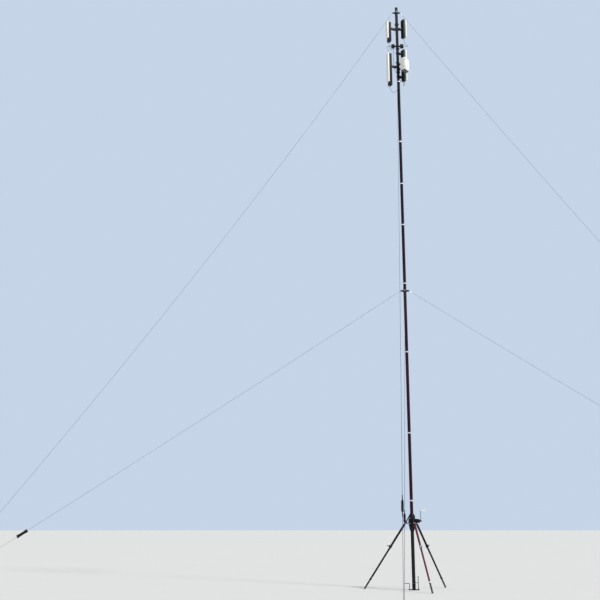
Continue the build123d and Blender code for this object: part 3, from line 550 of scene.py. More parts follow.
class Shape:
    """A mesh built up from simple forms, each placed by a matrix, in metres."""

    def __init__(self):
        self.mesh = bmesh.new()

    def take(self, form, place=None):
        """Adds another bmesh, moved by a matrix, and frees it."""
        if place is not None:
            bmesh.ops.transform(form, matrix=place, verts=form.verts)
        carrier = bpy.data.meshes.new("form")
        form.to_mesh(carrier)
        form.free()
        self.mesh.from_mesh(carrier)
        bpy.data.meshes.remove(carrier)

    def lathe(self, profile, place=None, segments=32):
        """Turns a closed outline of (radius, height) points round the z axis."""
        form = bmesh.new()
        rings = []
        for step in range(segments):
            angle = 2.0 * math.pi * step / segments
            cosine, sine = math.cos(angle), math.sin(angle)
            rings.append([form.verts.new((r * cosine, r * sine, z)) for r, z in profile])
        for step, ring in enumerate(rings):
            following = rings[(step + 1) % segments]
            for point in range(len(profile)):
                after = (point + 1) % len(profile)
                form.faces.new((ring[point], following[point], following[after], ring[after]))
        bmesh.ops.remove_doubles(form, verts=form.verts, dist=1e-6)
        bmesh.ops.dissolve_degenerate(form, edges=form.edges, dist=1e-6)
        bmesh.ops.recalc_face_normals(form, faces=form.faces)
        self.take(form, place)

    def prism(self, outline, depth, place=None, bevel=0.0):
        """A flat outline of (x, y) points made depth thick along z, its rims eased."""
        form = bmesh.new()
        base = form.faces.new([form.verts.new((x, y, 0.0)) for x, y in outline])
        lifted = bmesh.ops.extrude_face_region(form, geom=[base])
        top = [item for item in lifted["geom"] if isinstance(item, bmesh.types.BMVert)]
        bmesh.ops.translate(form, vec=(0.0, 0.0, depth), verts=top)
        bmesh.ops.recalc_face_normals(form, faces=form.faces)
        if bevel:
            rims = [edge for edge in form.edges if abs(edge.verts[0].co.z - edge.verts[1].co.z) < 1e-9]
            bmesh.ops.bevel(form, geom=rims, offset=bevel, segments=2, profile=0.7, affect="EDGES")
        self.take(form, place)

    def tube(self, points, radius, sides=10):
        """A closed round tube along points, with a map that runs along its length.

        The radius is one number or one for each point.
        """
        radii = radius if isinstance(radius, list) else [radius] * len(points)
        turns = [2.0 * math.pi * step / sides for step in range(sides)]
        form = bmesh.new()
        layer = form.loops.layers.uv.new("length")
        rings = []
        lengths = [0.0]
        over = UP
        for here, point in enumerate(points):
            heading = (points[min(here + 1, len(points) - 1)] - points[max(here - 1, 0)]).normalized()
            if here:
                lengths.append(lengths[-1] + (point - points[here - 1]).length)
            side = over.cross(heading).normalized()
            over = heading.cross(side)
            spokes = [side * math.cos(turn) + over * math.sin(turn) for turn in turns]
            rings.append([form.verts.new(point + spoke * radii[here]) for spoke in spokes])
        for here, (ring, following) in enumerate(zip(rings, rings[1:])):
            for step in range(sides):
                after = (step + 1) % sides
                face = form.faces.new((ring[step], ring[after], following[after], following[step]))
                for loop, (across, along) in zip(face.loops, ((0, 0), (1, 0), (1, 1), (0, 1))):
                    loop[layer].uv = ((step + across) / sides, lengths[here + along])
        form.faces.new(list(reversed(rings[0])))
        form.faces.new(rings[-1])
        bmesh.ops.recalc_face_normals(form, faces=form.faces)
        self.take(form)

    def cad(self, node, bevel):
        """A cleaned copy of a node's own solid with its sharp edges eased."""
        form = bmesh.new()
        form.from_mesh(frame["nodes"][node].data)
        bmesh.ops.remove_doubles(form, verts=form.verts, dist=2e-6)
        bmesh.ops.dissolve_limit(form, angle_limit=math.radians(0.5), verts=form.verts, edges=form.edges)
        limit = math.radians(SHARP_ANGLE)
        sharp = [edge for edge in form.edges if edge.is_manifold and edge.calc_face_angle() > limit]
        bmesh.ops.bevel(
            form, geom=sharp, offset=bevel, segments=2, profile=0.7, affect="EDGES", clamp_overlap=True
        )
        self.take(form)

    def copy_of(self, mesh, place):
        """Adds a ready mesh at a place."""
        form = bmesh.new()
        form.from_mesh(mesh)
        self.take(form, place)

    def piece(self, name, finish, body, angle=SHARP_ANGLE):
        """The finished object, shaded smooth up to an angle, riding on its body."""
        mesh = bpy.data.meshes.new(name)
        self.mesh.to_mesh(mesh)
        self.mesh.free()
        return shown(name, mesh, finish, body, angle)


def shown(name, mesh, finish, body, angle=SHARP_ANGLE):
    """Puts a mesh in the scene with its finish and its body."""
    mesh.materials.clear()
    mesh.materials.append(FINISHES[finish])
    mesh.shade_smooth()
    mesh.set_sharp_from_angle(angle=math.radians(angle))
    thing = bpy.data.objects.new(name, mesh)
    bpy.context.scene.collection.objects.link(thing)
    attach(thing, body)
    return thing


def dress(bevel, *nodes):
    """Replaces nodes by cleaned copies of themselves with eased edges."""
    for node in nodes:
        shape = Shape()
        shape.cad(node, bevel)
        slot = SLOT_OF_NODE[node]
        thing = shape.piece(f"{node}_eased", OWN_FINISHES.get(node, slot), BODY_OF_NODE[node])
        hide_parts(node)


class Pattern(Nodes):
    """A Geometry Nodes tree with named inputs, evaluated on a starting mesh."""

    def __init__(self, name, inputs):
        super().__init__(bpy.data.node_groups.new(name, "GeometryNodeTree"))
        face = self.tree.interface
        face.new_socket(name="Geometry", in_out="INPUT", socket_type="NodeSocketGeometry")
        self.identifiers = {}
        for label, kind in (*inputs.items(), ("Material", "NodeSocketMaterial")):
            socket = face.new_socket(name=label, in_out="INPUT", socket_type=kind)
            self.identifiers[label] = socket.identifier
        face.new_socket(name="Geometry", in_out="OUTPUT", socket_type="NodeSocketGeometry")
        self.source = self.tree.nodes.new("NodeGroupInput")
        self.result = self.tree.nodes.new("NodeGroupOutput")

    def given(self, label):
        return Signal(self, self.source.outputs[label])

    def moved(self, part, **transform):
        """A part moved, turned or scaled by vectors."""
        return self.node("GeometryNodeTransform", None, {"Geometry": part, **transform})

    def lifted(self, part, height):
        """A part moved up by a height."""
        return self.moved(part, Translation=self.node("ShaderNodeCombineXYZ", None, {"Z": height}))

    def joined(self, *parts):
        made = self.tree.nodes.new("GeometryNodeJoinGeometry")
        for part in parts:
            self.tree.links.new(part.socket, made.inputs[0])
        return Signal(self, made.outputs[0])

    def end_in(self, geometry):
        """Realize Instances, then Set Material, then the result."""
        real = self.node("GeometryNodeRealizeInstances", None, {"Geometry": geometry})
        dressed = {"Geometry": real, "Material": self.given("Material")}
        finished = self.node("GeometryNodeSetMaterial", None, dressed)
        self.tree.links.new(finished.socket, self.result.inputs[0])

    def mesh_from(self, start, values, name):
        """The tree's result on a starting mesh, as a plain mesh."""
        holder = bpy.data.objects.new(name, start)
        bpy.context.scene.collection.objects.link(holder)
        modifier = holder.modifiers.new(name, "NODES")
        modifier.node_group = self.tree
        for label, value in values.items():
            modifier[self.identifiers[label]] = value
        evaluated = holder.evaluated_get(bpy.context.evaluated_depsgraph_get())
        mesh = bpy.data.meshes.new_from_object(evaluated)
        holder.modifiers.clear()
        bpy.data.objects.remove(holder)
        bpy.data.meshes.remove(start)
        return mesh


def bolt_pattern():
    """On every point a washer and a bolt head with an eased crown, pointing as the point says."""
    labels = ("Head Radius", "Head Height", "Washer Radius", "Washer Height")
    inputs = {**dict.fromkeys(labels, "NodeSocketFloat"), "Sides": "NodeSocketInt"}
    tree = Pattern("Bolts on points", inputs)
    head_radius, head_height, washer_radius, washer_height = (tree.given(label) for label in labels)
    sides = tree.given("Sides")
    washer_sizes = {"Vertices": 16, "Radius": washer_radius, "Depth": washer_height}
    head_sizes = {"Vertices": sides, "Radius": head_radius, "Depth": head_height}
    crown_sizes = {
        "Vertices": sides, "Radius Bottom": head_radius, "Radius Top": head_radius * 0.82,
        "Depth": head_height * 0.2,
    }
    washer = tree.node("GeometryNodeMeshCylinder", None, washer_sizes)
    head = tree.node("GeometryNodeMeshCylinder", None, head_sizes)
    crown = tree.node("GeometryNodeMeshCone", None, crown_sizes)
    bolt = tree.joined(
        tree.lifted(washer, washer_height * 0.5),
        tree.lifted(head, washer_height + head_height * 0.5),
        tree.lifted(crown, washer_height + head_height),
    )
    vectors = {"data_type": "FLOAT_VECTOR"}
    heading = tree.node("GeometryNodeInputNamedAttribute", vectors, {"Name": "heading"})
    turn = tree.node("FunctionNodeAlignRotationToVector", {"axis": "Z"}, {"Vector": heading})
    points = {"Points": tree.given("Geometry"), "Instance": bolt, "Rotation": turn}
    tree.end_in(tree.node("GeometryNodeInstanceOnPoints", None, points))
    return tree


def winding_pattern():
    """Spare line wound on a winder's waist: a flattened coil with a round section."""
    labels = ("Turns", "Length", "Half Width", "Flatness", "Line Radius", "Unevenness")
    tree = Pattern("Wound spare line", dict.fromkeys(labels, "NodeSocketFloat"))
    turns, length, half_width, flatness, line_radius, unevenness = (tree.given(label) for label in labels)
    spiral = tree.node("GeometryNodeCurveSpiral", None, {
        "Resolution": 20, "Rotations": turns, "Start Radius": half_width, "End Radius": half_width,
        "Height": length,
    })
    flat = tree.node("ShaderNodeCombineXYZ", None, {"X": 1.0, "Y": flatness, "Z": 1.0})
    shaped = tree.moved(spiral, Scale=flat)
    wander = tree.node("ShaderNodeTexNoise", None, {"Scale": 60.0, "Detail": 2.0}, output="Color")
    middle = {0: wander, 1: (0.5, 0.5, 0.5)}
    centred = tree.node("ShaderNodeVectorMath", {"operation": "SUBTRACT"}, middle)
    shift = tree.node("ShaderNodeVectorMath", {"operation": "SCALE"}, {0: centred, "Scale": unevenness})
    uneven = tree.node("GeometryNodeSetPosition", None, {"Geometry": shaped, "Offset": shift})
    section_sizes = {"Resolution": 6, "Radius": line_radius}
    section = tree.node("GeometryNodeCurvePrimitiveCircle", {"mode": "RADIUS"}, section_sizes)
    swept = {"Curve": uneven, "Profile Curve": section, "Fill Caps": True}
    tree.end_in(tree.node("GeometryNodeCurveToMesh", None, swept))
    return tree


PATTERNS = {}


def pattern(name, maker):
    """A Geometry Nodes tree, made at its first use."""
    if name not in PATTERNS:
        PATTERNS[name] = maker()
    return PATTERNS[name]


def bolts(name, places, body, head, height, sides=6, finish="steel_bolt"):
    """Bolt heads with washers at places, each a point and the direction that it faces."""
    start = bpy.data.meshes.new(name)
    start.from_pydata([tuple(point) for point, _ in places], [], [])
    headings = start.attributes.new("heading", "FLOAT_VECTOR", "POINT")
    for index, (_, heading) in enumerate(places):
        headings.data[index].vector = Vector(heading).normalized()
    values = {
        "Head Radius": head, "Head Height": height, "Washer Radius": head * 1.4,
        "Washer Height": height * 0.25, "Sides": sides, "Material": FINISHES[finish],
    }
    mesh = pattern("bolts", bolt_pattern).mesh_from(start, values, name)
    return shown(name, mesh, finish, body, 30.0)


class GuyArc:
    """The line of one guy, an arc from its pin at the ring to its pin at the anchor."""

    def __init__(self, level, side):
        azimuth = GUY_AZIMUTHS[side]
        top = outward(azimuth, GUY_RING_LUG, GUY_RING_HEIGHTS[level])
        bottom = outward(azimuth, ANCHOR_RADII[side] + ANCHOR_PINS[level], ANCHOR_HEIGHT)
        chord = bottom - top
        sag = GUY_SAGS[level][side]
        half_chord = chord.length / 2.0
        self.along = chord.normalized()
        self.droop = (chord * chord.z - UP * chord.length_squared).normalized()
        self.radius = (half_chord ** 2 + sag ** 2) / (2.0 * sag)
        self.half_turn = 2.0 * math.atan2(sag, half_chord)
        self.centre = (top + bottom) / 2.0 - self.droop * (self.radius - sag)
        self.length = 2.0 * self.radius * self.half_turn
        self.winder_middle = self.length - WINDER_DISTANCES[level][side] - WINDER_SIZE[0] / 2.0
        self.pin_axis = UP.cross(outward(azimuth))

    def point(self, distance):
        turn = distance / self.radius - self.half_turn
        return self.centre + (self.along * math.sin(turn) + self.droop * math.cos(turn)) * self.radius

    def heading(self, distance):
        turn = distance / self.radius - self.half_turn
        return self.along * math.cos(turn) - self.droop * math.sin(turn)

    def stretch(self, start, end):
        """Points of the line between two distances from its top pin."""
        count = max(2, round((end - start) / GUY_LINE_SPACING))
        return [self.point(start + (end - start) * step / count) for step in range(count + 1)]

    def winder_place(self, along=0.0):
        """A matrix at the winder: z runs down the line and y across its flat side."""
        here = self.winder_middle + along
        down = self.heading(self.winder_middle)
        side = UP.cross(down).normalized()
        turned = Matrix((side.cross(down), side, down)).transposed().to_4x4()
        return Matrix.Translation(self.point(here)) @ turned


GUYS = {(level, side): GuyArc(level, side) for level in GUY_SAGS for side in GUY_AZIMUTHS}


# The profile of the sleeve that closes an end loop, as (radius, height)
SLEEVE = (
    (0.0026, -0.004), (0.0062, -0.004), (0.0066, 0.002), (0.005, 0.008), (0.005, 0.03), (0.0042, 0.034),
    (0.0026, 0.034),
)
# How far the line enters a winder's end, half the gap of its jaw and the depth of its waist
WINDER_NOTCH = 0.034
WINDER_JAW = 0.009
WINDER_WAIST = 0.017


class MakeGuyLines(bpy.types.Operator):
    """The braided lines, and the bright sleeves that close their end loops."""

    bl_idname = "mast.guy_lines"
    bl_label = "Guy lines"

    def execute(self, context):
        winder_reach = WINDER_SIZE[0] / 2.0 - WINDER_NOTCH
        for level in GUY_SAGS:
            line = Shape()
            sleeves = Shape()
            for side in GUY_AZIMUTHS:
                guy = GUYS[(level, side)]
                first, last = SHACKLE_LENGTH, guy.length - SHACKLE_LENGTH
                line.tube(guy.stretch(first, guy.winder_middle - winder_reach), GUY_LINE_RADIUS)
                line.tube(guy.stretch(guy.winder_middle + winder_reach, last), GUY_LINE_RADIUS)
                for distance, direction in ((first, 1.0), (last, -1.0)):
                    place = facing(guy.point(distance), guy.heading(distance) * direction)
                    sleeves.lathe(SLEEVE, place, segments=16)
            thing = line.piece(f"guys_{level}_braided", "guy_rope", "mast")
            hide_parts(f"guys_{level}")
            sleeves.piece(f"guy_sleeves_{level}", "bright_metal", "mast")
        return {"FINISHED"}


class MakeWinders(bpy.types.Operator):
    """The notched frames with the spare line wound on their waists."""

    bl_idname = "mast.winders"
    bl_label = "Winders"

    def execute(self, context):
        length, width, thickness = WINDER_SIZE
        winding_length, winding_width, winding_thickness = WINDING_SIZE
        end, side, shoulder = length / 2.0, width / 2.0, winding_length / 2.0
        quarter = (
            (end - WINDER_NOTCH + 0.004, 0.0), (end, WINDER_JAW), (end, side), (shoulder, side),
            (shoulder, side - WINDER_WAIST),
        )
        upper = [*quarter, *((-x, y) for x, y in reversed(quarter))]
        lower = [(x, -y) for x, y in reversed(upper) if y > 0.0]
        outline = [(y, x) for x, y in rounded(upper + lower, 0.003, 3)]
        core_width, core_thickness = 0.94 * winding_width / 2.0, 0.9 * winding_thickness / 2.0
        angles = [math.pi * step / 12.0 for step in range(24)]
        core = [(core_width * math.cos(angle), core_thickness * math.sin(angle)) for angle in angles]
        half_width = winding_width / 2.0 - GUY_LINE_RADIUS
        values = {
            "Turns": float(context.scene.mast_lines.turns),
            "Length": winding_length - 2.0 * GUY_LINE_RADIUS,
            "Half Width": half_width,
            "Flatness": (winding_thickness / 2.0 - GUY_LINE_RADIUS) / half_width,
            "Line Radius": GUY_LINE_RADIUS,
            "Unevenness": 0.0016,
            "Material": FINISHES["wound_cord"],
        }
        coil = pattern("winding", winding_pattern).mesh_from(bpy.data.meshes.new("coil"), values, "coil")
        frames = Shape()
        wound = Shape()
        for guy in GUYS.values():
            flat_side = shifted(guy.winder_place() @ QUARTER_TURN, 0.0, 0.0, -thickness / 2.0)
            frames.prism(outline, thickness, flat_side, bevel=0.0015)
            wound.copy_of(coil, guy.winder_place(GUY_LINE_RADIUS - winding_length / 2.0))
            wound.prism(core, winding_length * 0.97, guy.winder_place(-0.485 * winding_length))
        bpy.data.meshes.remove(coil)
        thing = frames.piece("winder_frames", "black_plastic", "mast")
        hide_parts("guy_winders")
        wound.piece("winder_spare_line", "wound_cord", "mast")
        return {"FINISHED"}


GUY_RING_SCREW_AZIMUTHS = (45.0, 130.0, 218.0, 311.0)
GUY_RING_SCREW_RISE = 0.012


class MakeGuyFittings(bpy.types.Operator):
    """Eased shackles and guy rings, with the nuts of every shackle pin and the rings' screws."""

    bl_idname = "mast.guy_fittings"
    bl_label = "Guy fittings"

    def execute(self, context):
        dress(0.0008, "guy_shackles", "guy_ring_mid", "guy_ring_top")
        pins = []
        for guy in GUYS.values():
            for distance, direction in product((0.0, guy.length), (1.0, -1.0)):
                heading = guy.pin_axis * direction
                pins.append((guy.point(distance) + heading * SHACKLE_HALF, heading))
        bolts("shackle_nuts", pins, "mast", head=0.0065, height=0.004)
        rises = (-GUY_RING_SCREW_RISE, GUY_RING_SCREW_RISE)
        for level, height in GUY_RING_HEIGHTS.items():
            screws = [
                (outward(azimuth, BAND_RADIUS + 0.001, height + rise), outward(azimuth))
                for azimuth, rise in product(GUY_RING_SCREW_AZIMUTHS, rises)
            ]
            bolts(f"guy_ring_screws_{level}", screws, "mast", head=0.0045, height=0.003)
        return {"FINISHED"}


class MakeRings(bpy.types.Operator):
    """Machined lands, a wiper and set screws on every joint ring."""

    bl_idname = "mast.rings"
    bl_label = "Joint rings"

    def execute(self, context):
        lands = Shape()
        wipers = Shape()
        screws = []
        inner, edge = RING_RADIUS - 0.0005, RING_RADIUS + 0.0004
        face, groove = RING_RADIUS + 0.0012, RING_RADIUS + 0.0005
        half, bevel, groove_half, shoulder = RING_HALF + 0.0005, 0.001, 0.0055, 0.0061
        profile = (
            (inner, -half), (edge, -half), (face, bevel - half), (face, -shoulder), (groove, -groove_half),
            (groove, groove_half), (face, shoulder), (face, half - bevel), (edge, half), (inner, half),
        )
        wiper_inner, wiper_top = TUBE_RADIUS - 0.0005, half + 0.005
        wiper = ((wiper_inner, half), (0.0412, half), (0.0396, wiper_top), (wiper_inner, wiper_top))
        for count, height in enumerate(JOINT_HEIGHTS):
            lands.lathe(profile, upright(0.0, height), segments=48)
            wipers.lathe(wiper, upright(0.0, height), segments=40)
            for step in range(3):
                azimuth = 25.0 + 120.0 * step + 40.0 * (count % 2)
                screws.append((outward(azimuth, groove, height), outward(azimuth)))
        lands.piece("joint_ring_lands", "bright_metal", "mast")
        wipers.piece("joint_wipers", "black_plastic", "mast")
        bolts("joint_ring_screws", screws, "mast", head=0.0032, height=0.0025, sides=12)
        return {"FINISHED"}


# Flat rectangles from here on are given as (width, height, corner radius), and the outlines of turned
# fittings as (radius, height)
FOOT_WELD = ((0.0395, 0.1715), (0.0428, 0.1715), (0.0418, 0.1745), (0.0402, 0.1765), (0.0395, 0.1765))
BOLT_BOSS = ((0.0071, 0.0), (0.0128, 0.0), (0.0122, 0.0018), (0.0078, 0.0018), (0.0071, 0.0012))
STAKE_KNOB = (
    (0.0, 0.284), (0.0095, 0.284), (0.0112, 0.287), (0.0112, 0.299), (0.0095, 0.303), (0.0, 0.304),
)
STAKE_COLLAR = (
    (0.0065, 0.232), (0.0105, 0.232), (0.0118, 0.2335), (0.0118, 0.2395), (0.0105, 0.241), (0.0065, 0.241),
)
STAKE_PLACE = (0.103, 0.0, 0.0)
PLATE_SEAT = 0.0118
PLATE_BOLT_CIRCLE = 0.1
LUG_WELD = (0.027, 0.071, 0.003)


class MakeBase(bpy.types.Operator):
    """Weld beads, bolt bosses and the stake's head on the base plate and the column foot."""

    bl_idname = "mast.base"
    bl_label = "Base"

    def execute(self, context):
        base = Shape()
        base.prism(rectangle(*LUG_WELD), 0.0035, upright(0.0, PLATE_SEAT), bevel=0.0025)
        base.lathe(FOOT_WELD)
        for step in range(4):
            place = Matrix.Translation(outward(45.0 + 90.0 * step, PLATE_BOLT_CIRCLE, PLATE_SEAT))
            base.lathe(BOLT_BOSS, place, segments=24)
        for profile in (STAKE_KNOB, STAKE_COLLAR):
            base.lathe(profile, Matrix.Translation(STAKE_PLACE), segments=24)
        base.piece("base_welds", "black_steel", "mast")
        dress(0.0012, "base_plate", "column", "base_stakes")
        dress(0.001, "hinge_pins")
        return {"FINISHED"}


def leg_place(side, distance):
    """A matrix on a leg's axis: x runs along its hinge pin, y outward and z down the leg."""
    fold = JOINTS[f"leg_fold_{side}"]
    along_pin = Vector(fold["axis"])
    down = Vector(JOINTS[f"leg_slide_{side}"]["axis"]) * -1.0
    turned = Matrix((along_pin, down.cross(along_pin), down)).transposed().to_4x4()
    return Matrix.Translation(Vector(fold["pos_m"]) + down * distance) @ turned


# Places from a leg's clamp: its bolt's two ends, and the grip on its lever
CLAMP_BOLT = (0.011, 0.043, -0.006)
LEVER_GRIP = (0.027, 0.03, 0.01)
LEVER_GRIP_DEPTH = 0.013
LEVER_GRIP_PLACE = (0.0, 0.071, 0.0122)
# The ribs of a foot: their outline, their count, where they start on the leg and their spacing
FOOT_RIB = ((0.0185, -0.004), (0.0202, -0.003), (0.0212, 0.0), (0.0202, 0.003), (0.0185, 0.004))
FOOT_RIBS = 7
FOOT_RIBS_START = 1.6
FOOT_RIB_PITCH = 0.022


def ferrule_profile():
    """The outline of a leg's ferrule, with four grooves."""
    length = LEG_FERRULE[1] - LEG_FERRULE[0] + 0.001
    inner, groove = LEG_FERRULE_RADIUS - 0.0035, LEG_FERRULE_RADIUS + 0.0004
    land = LEG_FERRULE_RADIUS + 0.001
    profile = [(inner, 0.0), (groove, 0.0), (land, 0.001)]
    for step in range(4):
        start = 0.004 + 0.005 * step
        profile += [
            (land, start), (groove, start + 0.0006), (groove, start + 0.0022), (land, start + 0.0028),
        ]
    return profile + [(land, length - 0.001), (groove, length), (inner, length)]


class MakeLegs(bpy.types.Operator):
    """Eased forks and clamps, pinch bolts, lever grips, grooved ferrules and ribbed feet."""

    bl_idname = "mast.legs"
    bl_label = "Tripod legs"

    def execute(self, context):
        across, out, down = CLAMP_BOLT
        for side in LEG_SIDES:
            dress(0.001, f"leg_upper_{side}")
            dress(0.0012, f"leg_clamp_{side}")
            clamp = leg_place(side, LEG_CLAMP_PLACE)
            turned = clamp.to_3x3()
            places = [
                (clamp @ Vector((direction * across, out, down)), turned @ Vector((direction, 0.0, 0.0)))
                for direction in (-1.0, 1.0)
            ]
            bolts(f"leg_clamp_bolt_{side}", places, f"leg_{side}", head=0.0065, height=0.005)
            grip = Shape()
            place = shifted(clamp, *LEVER_GRIP_PLACE)
            grip.prism(rectangle(*LEVER_GRIP), LEVER_GRIP_DEPTH, place, bevel=0.002)
            grip.piece(f"leg_lever_grip_{side}", "black_plastic", f"leg_{side}")
            sleeve = Shape()
            sleeve.lathe(ferrule_profile(), leg_place(side, LEG_FERRULE[0] - 0.0005), segments=40)
            # The far legs' ferrules take dark steel as painted shade; the near leg's stays bright
            metal = "bright_metal" if side == "near" else "dark_clamp_metal"
            sleeve.piece(f"leg_ferrule_{side}", metal, f"leg_slide_{side}")
            ribs = Shape()
            for step in range(FOOT_RIBS):
                ribs.lathe(FOOT_RIB, leg_place(side, FOOT_RIBS_START + FOOT_RIB_PITCH * step), segments=32)
            ribs.piece(f"leg_foot_ribs_{side}", "foot_rubber", f"leg_slide_{side}")
        return {"FINISHED"}


# The seams round the hub, as (reach, rise) from its radius and each height
HUB_SEAM = ((-0.001, -0.004), (0.001, -0.003), (0.0022, 0.0), (0.001, 0.003), (-0.001, 0.004))
HUB_SEAM_HEIGHTS = (1.452, 1.656)
HEAD_BOLT_AZIMUTHS = (103.0, 223.0)
HEAD_BOLT_HEIGHTS = (1.49, 1.615)
# The gearbox's cover with its collar and screws, and the seal on its nose
GEARBOX_COVER = (0.066, 0.084, 0.01)
GEARBOX_COVER_DEPTH = 0.003
GEARBOX_COLLAR = ((0.0265, 0.001), (0.0305, 0.001), (0.0305, 0.007), (0.029, 0.0095), (0.0265, 0.0095))
GEARBOX_SCREWS = (0.0265, 0.0355)
GEARBOX_SEAL = ((0.0094, -0.001), (0.0165, -0.001), (0.016, 0.0022), (0.0094, 0.0026))
GRIP_BORE = 0.0052
GRIP_GROOVES = 10
GRIP_GROOVE_PITCH = 0.0093


def by_crank(radius, height=GEARBOX_HEIGHT):
    """A point over or on the crank's axis, at a radius from the mast's."""
    return CRANK_AXIS * radius + UP * height


def grip_profile():
    """The outline of the crank's grip, grooved, with a hollow in its end."""
    length = GRIP_SPAN[1] - GRIP_SPAN[0]
    waist = GRIP_RADIUS - 0.001
    profile = [(GRIP_BORE, 0.0), (GRIP_RADIUS - 0.0015, 0.0), (GRIP_RADIUS, 0.0015)]
    for step in range(GRIP_GROOVES):
        start = 0.01 + GRIP_GROOVE_PITCH * step
        profile += [
            (GRIP_RADIUS, start), (waist, start + 0.001),
            (waist, start + 0.003), (GRIP_RADIUS, start + 0.004),
        ]
    return profile + [
        (GRIP_RADIUS, length - 0.003), (GRIP_RADIUS - 0.003, length), (0.0, length + 0.0006),
        (0.0, length - 0.006), (GRIP_BORE, length - 0.006),
    ]


class MakeHead(bpy.types.Operator):
    """The tripod head's seams and bolts, the gearbox cover and the cranked handle."""

    bl_idname = "mast.head"
    bl_label = "Tripod head and crank"

    def execute(self, context):
        dress(0.0015, "tripod_head")
        dress(0.0025, "gearbox")
        face = facing(by_crank(GEARBOX_FACE - SEAT_DEPTH), CRANK_AXIS)
        trim = Shape()
        for height in HUB_SEAM_HEIGHTS:
            trim.lathe([(HUB_RADIUS + reach, height + rise) for reach, rise in HUB_SEAM], None, segments=64)
        trim.prism(rectangle(*GEARBOX_COVER), GEARBOX_COVER_DEPTH, face, bevel=0.001)
        trim.lathe(GEARBOX_COLLAR, face, segments=40)
        trim.piece("head_seams", "black_casting", "mast")
        nose = GEARBOX_NOSE - GEARBOX_FACE
        seal = Shape()
        seal.lathe([(radius, nose + rise) for radius, rise in GEARBOX_SEAL], face, segments=32)
        seal.piece("gearbox_seal", "foot_rubber", "mast")
        places = [
            (outward(azimuth, HUB_RADIUS, height), outward(azimuth))
            for azimuth, height in product(HEAD_BOLT_AZIMUTHS, HEAD_BOLT_HEIGHTS)
        ]
        bolts("head_bolts", places, "mast", head=0.0085, height=0.0065)
        across, rise = GEARBOX_SCREWS
        covers = [
            (face @ Vector((x, y, GEARBOX_COVER_DEPTH)), CRANK_AXIS)
            for x, y in product((-across, across), (-rise, rise))
        ]
        bolts("gearbox_screws", covers, "mast", head=0.004, height=0.003)
        dress(0.001, "crank")
        bolts("crank_bolt", [(by_crank(CRANK_HUB_END), CRANK_AXIS)], "crank", head=0.0105, height=0.008)
        grip = Shape()
        grip_start = by_crank(GRIP_SPAN[0], sum(GRIP_HEIGHTS) / 2.0)
        grip.lathe(grip_profile(), facing(grip_start, CRANK_AXIS), segments=40)
        thing = grip.piece("crank_grip_ribbed", "grey_plastic", "crank", angle=50.0)
        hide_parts("crank_grip")
        return {"FINISHED"}


def panel_span(side, level):
    """The heights of a housing's ends, between its connectors and its radome's edge."""
    low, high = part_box(f"housing_{side}_{level}")[0].z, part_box(f"radome_{side}_{level}")[1].z
    return low + CONNECTOR_LENGTH, high - RADOME_OVERHANG


# Half heights of a cheek plate at the mast's end and at the panel's end of its arm
CHEEK_HALVES = (0.036, 0.021)
# The radome's end caps: how much they stand out from it, and their height
CAP_GROWTH = 0.0009
CAP_HEIGHT = 0.018
HOUSING_SCREW_ROWS = 6
# Bolts of a bracket from the middle of its plate, as (across, up), and of its clamp
PLATE_BOLTS = (0.025, 0.052)
CLAMP_BOLT_RISE = 0.011


